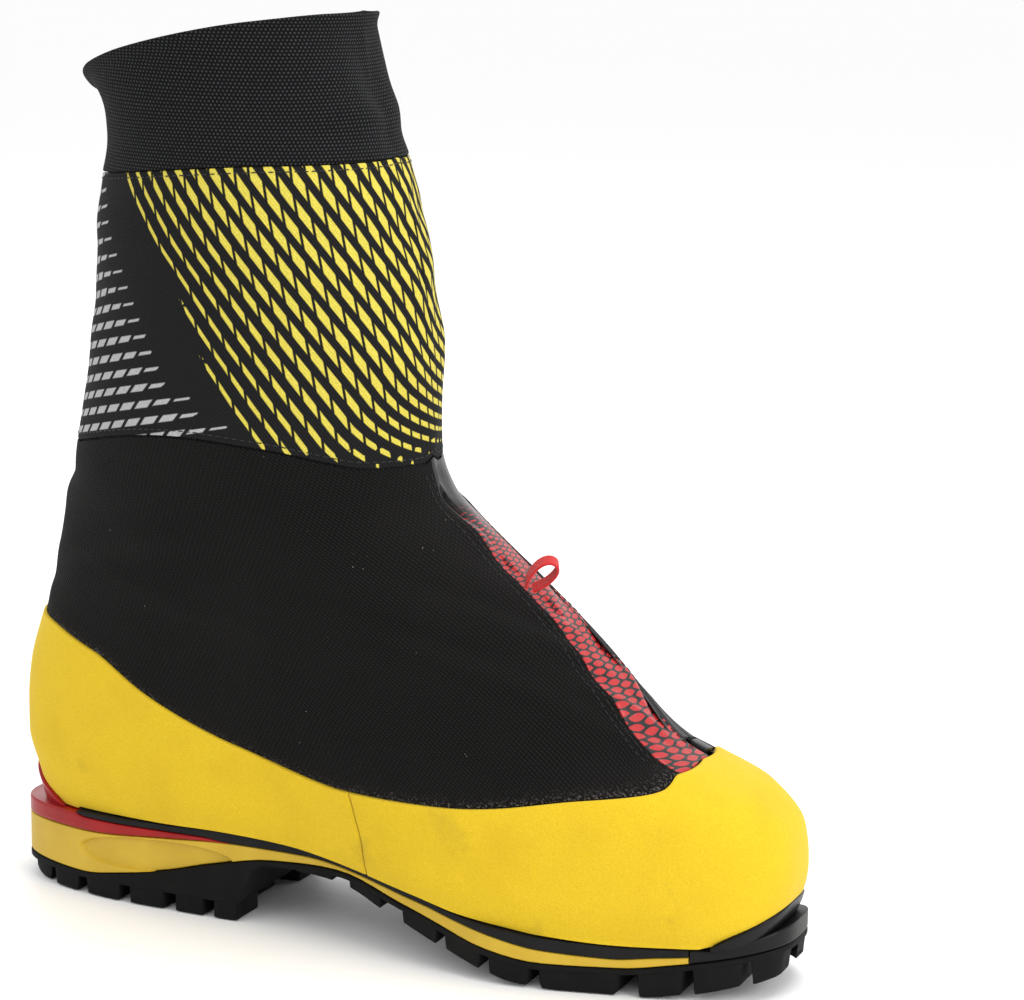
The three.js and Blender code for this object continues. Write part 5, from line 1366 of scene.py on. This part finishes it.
def laceRoute():
    # down one crossing, across the lowest row and up the other, through every webbing loop
    points, straight, last = [], lacing["width"] / 2 + lacing["straight"], inner["rows"] - 1
    leave = straight + lacing["turnIn"]

    def at(row, side, steps):
        up, _, centre = loopSeat(row, side)
        points.extend(centre + up * step * straight for step in steps)

    def cross(z0, side0, z1, side1, height):
        s = np.array([0.13, 0.3, 0.5, 0.7, 0.87])
        lift = mix(lacing["rise"], height, smooth(2.4 - 4.8 * np.abs(s - 0.5)))
        points.extend(innerSkin(mix(z0, z1, s), mix(loopPlace(side0), loopPlace(side1), s), lift))

    tail = [lacing["tailLength"], lacing["tailLength"] / 2, 8, 3, 0]
    points.extend(tailPoint(-1, along) for along in tail)
    side = -1
    for row in range(last, -1, -1):
        at(row, side, (1, 0, -1))
        if row > 0:
            cross(loopHeight(row) - leave, side, loopHeight(row - 1) + leave, -side,
                  lacing["rise"] + lacing["over"])
        side = -side
    side = -side
    low = loopHeight(0) - leave
    cross(low, side, low, -side, lacing["rise"])
    side = -side
    for row in range(last + 1):
        at(row, side, (-1, 0, 1))
        if row < last:
            cross(loopHeight(row) + leave, side, loopHeight(row + 1) - leave, -side,
                  lacing["rise"] - lacing["under"])
        side = -side
    points.extend(tailPoint(1, along) for along in tail[::-1])
    return np.array(points)


def makeLacing():
    path = smoothPath(laceRoute(), 620)
    ahead = unit(np.gradient(path, axis=0))
    reference = directions(path[:, 2], np.ones(len(path)), innerSkin)[2]
    side = unit(np.cross(ahead, reference))
    section = roundSection(lacing["diameter"] / 2, 10)
    points, faces, run = sweep(path, side, np.cross(side, ahead), section)
    newPiece("lace", points, faces, paints["lace"], stands="lace",
             uv={"cloth": sectionUV(section, run, False)}, merge=0.001, sharp=180)
    print("lace length in mm:", round(float(run[-1])))
    turn = np.linspace(0, 2 * np.pi, 32, endpoint=False)[:, None]
    radius = lacing["bore"] / 2 + lacing["wall"] / 2
    section = flatSection(lacing["width"], lacing["wall"] - 0.05, 0.3, -lacing["wall"] / 2)
    for name, sign in (("inner", -1), ("outer", 1)):
        for row in range(inner["rows"]):
            up, out, centre = loopSeat(row, sign)
            spoke = np.cos(turn) * np.cross(out, up) + np.sin(turn) * out
            points, faces, run = sweep(centre + spoke * radius, np.tile(up, (len(turn), 1)), spoke, section,
                                       closed=True)
            newPiece(f"laceLoop_{name}_{row + 1}", points, faces, paints["laceWebbing"], merge=0.002,
                     stands=f"lace_loop_{name}_{row + 1}", uv={"cloth": sectionUV(section, run, True)})


# ---- moulded small parts ----
def bevelled(name, node, paint, body, width):
    # the node's own shape with its loose triangles joined and its hard edges rounded
    source = bpy.data.objects[node]
    shape = bmesh.new()
    shape.from_mesh(source.data)
    shape.transform(source.matrix_world)
    bmesh.ops.remove_doubles(shape, verts=shape.verts, dist=0.00001)
    bmesh.ops.dissolve_limit(shape, angle_limit=math.radians(2), verts=shape.verts, edges=shape.edges)
    bmesh.ops.recalc_face_normals(shape, faces=shape.faces)
    hard = [e for e in shape.edges if len(e.link_faces) == 2 and e.calc_face_angle(0) > math.radians(28)]
    bmesh.ops.bevel(shape, geom=hard, offset=width * mm, segments=2, affect="EDGES", profile=0.5,
                    clamp_overlap=True)
    mesh = bpy.data.meshes.new(name)
    shape.to_mesh(mesh)
    shape.free()
    mesh.polygons.foreach_set("use_smooth", np.ones(len(mesh.polygons), bool))
    mesh.set_sharp_from_angle(angle=math.radians(35))
    piece = bpy.data.objects.new(name, mesh)
    bpy.context.scene.collection.objects.link(piece)
    mesh.materials.append(paint)
    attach(piece, body)
    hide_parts(node)


smallParts = {  # name: node, paint, body, bevel
    "zipSlider": ("zip_slider", "metal", "slider", 0.18),
    "zipPuller": ("zip_puller", "puller", "puller", 0.25),
    "zipStop": ("zip_bottom_stop", "teeth", "boot", 0.25),
    "laceLock": ("lace_lock", "lock", "cord_lock", 0.6),
    "laceLockButton": ("lace_lock_button", "button", "lock_button", 0.35),
    "heelPullTab": ("heel_pull_tab", "tabWebbing", "boot", 0.3),
    "lastingBoard": ("lasting_board", "board", "boot", 0.3),
    "footbed": ("footbed", "footbed", "boot", 0.9),
}

makeSeamTapes()
makeStitches()
makeZip()
makeFingerLoop()
print("zip, loop and stitches made")
makeInnerBoot()
makeLacing()
for name, (node, paint, body, width) in smallParts.items():
    bevelled(name, node, paints[paint], body, width)
print("inner boot, lacing and small parts made")
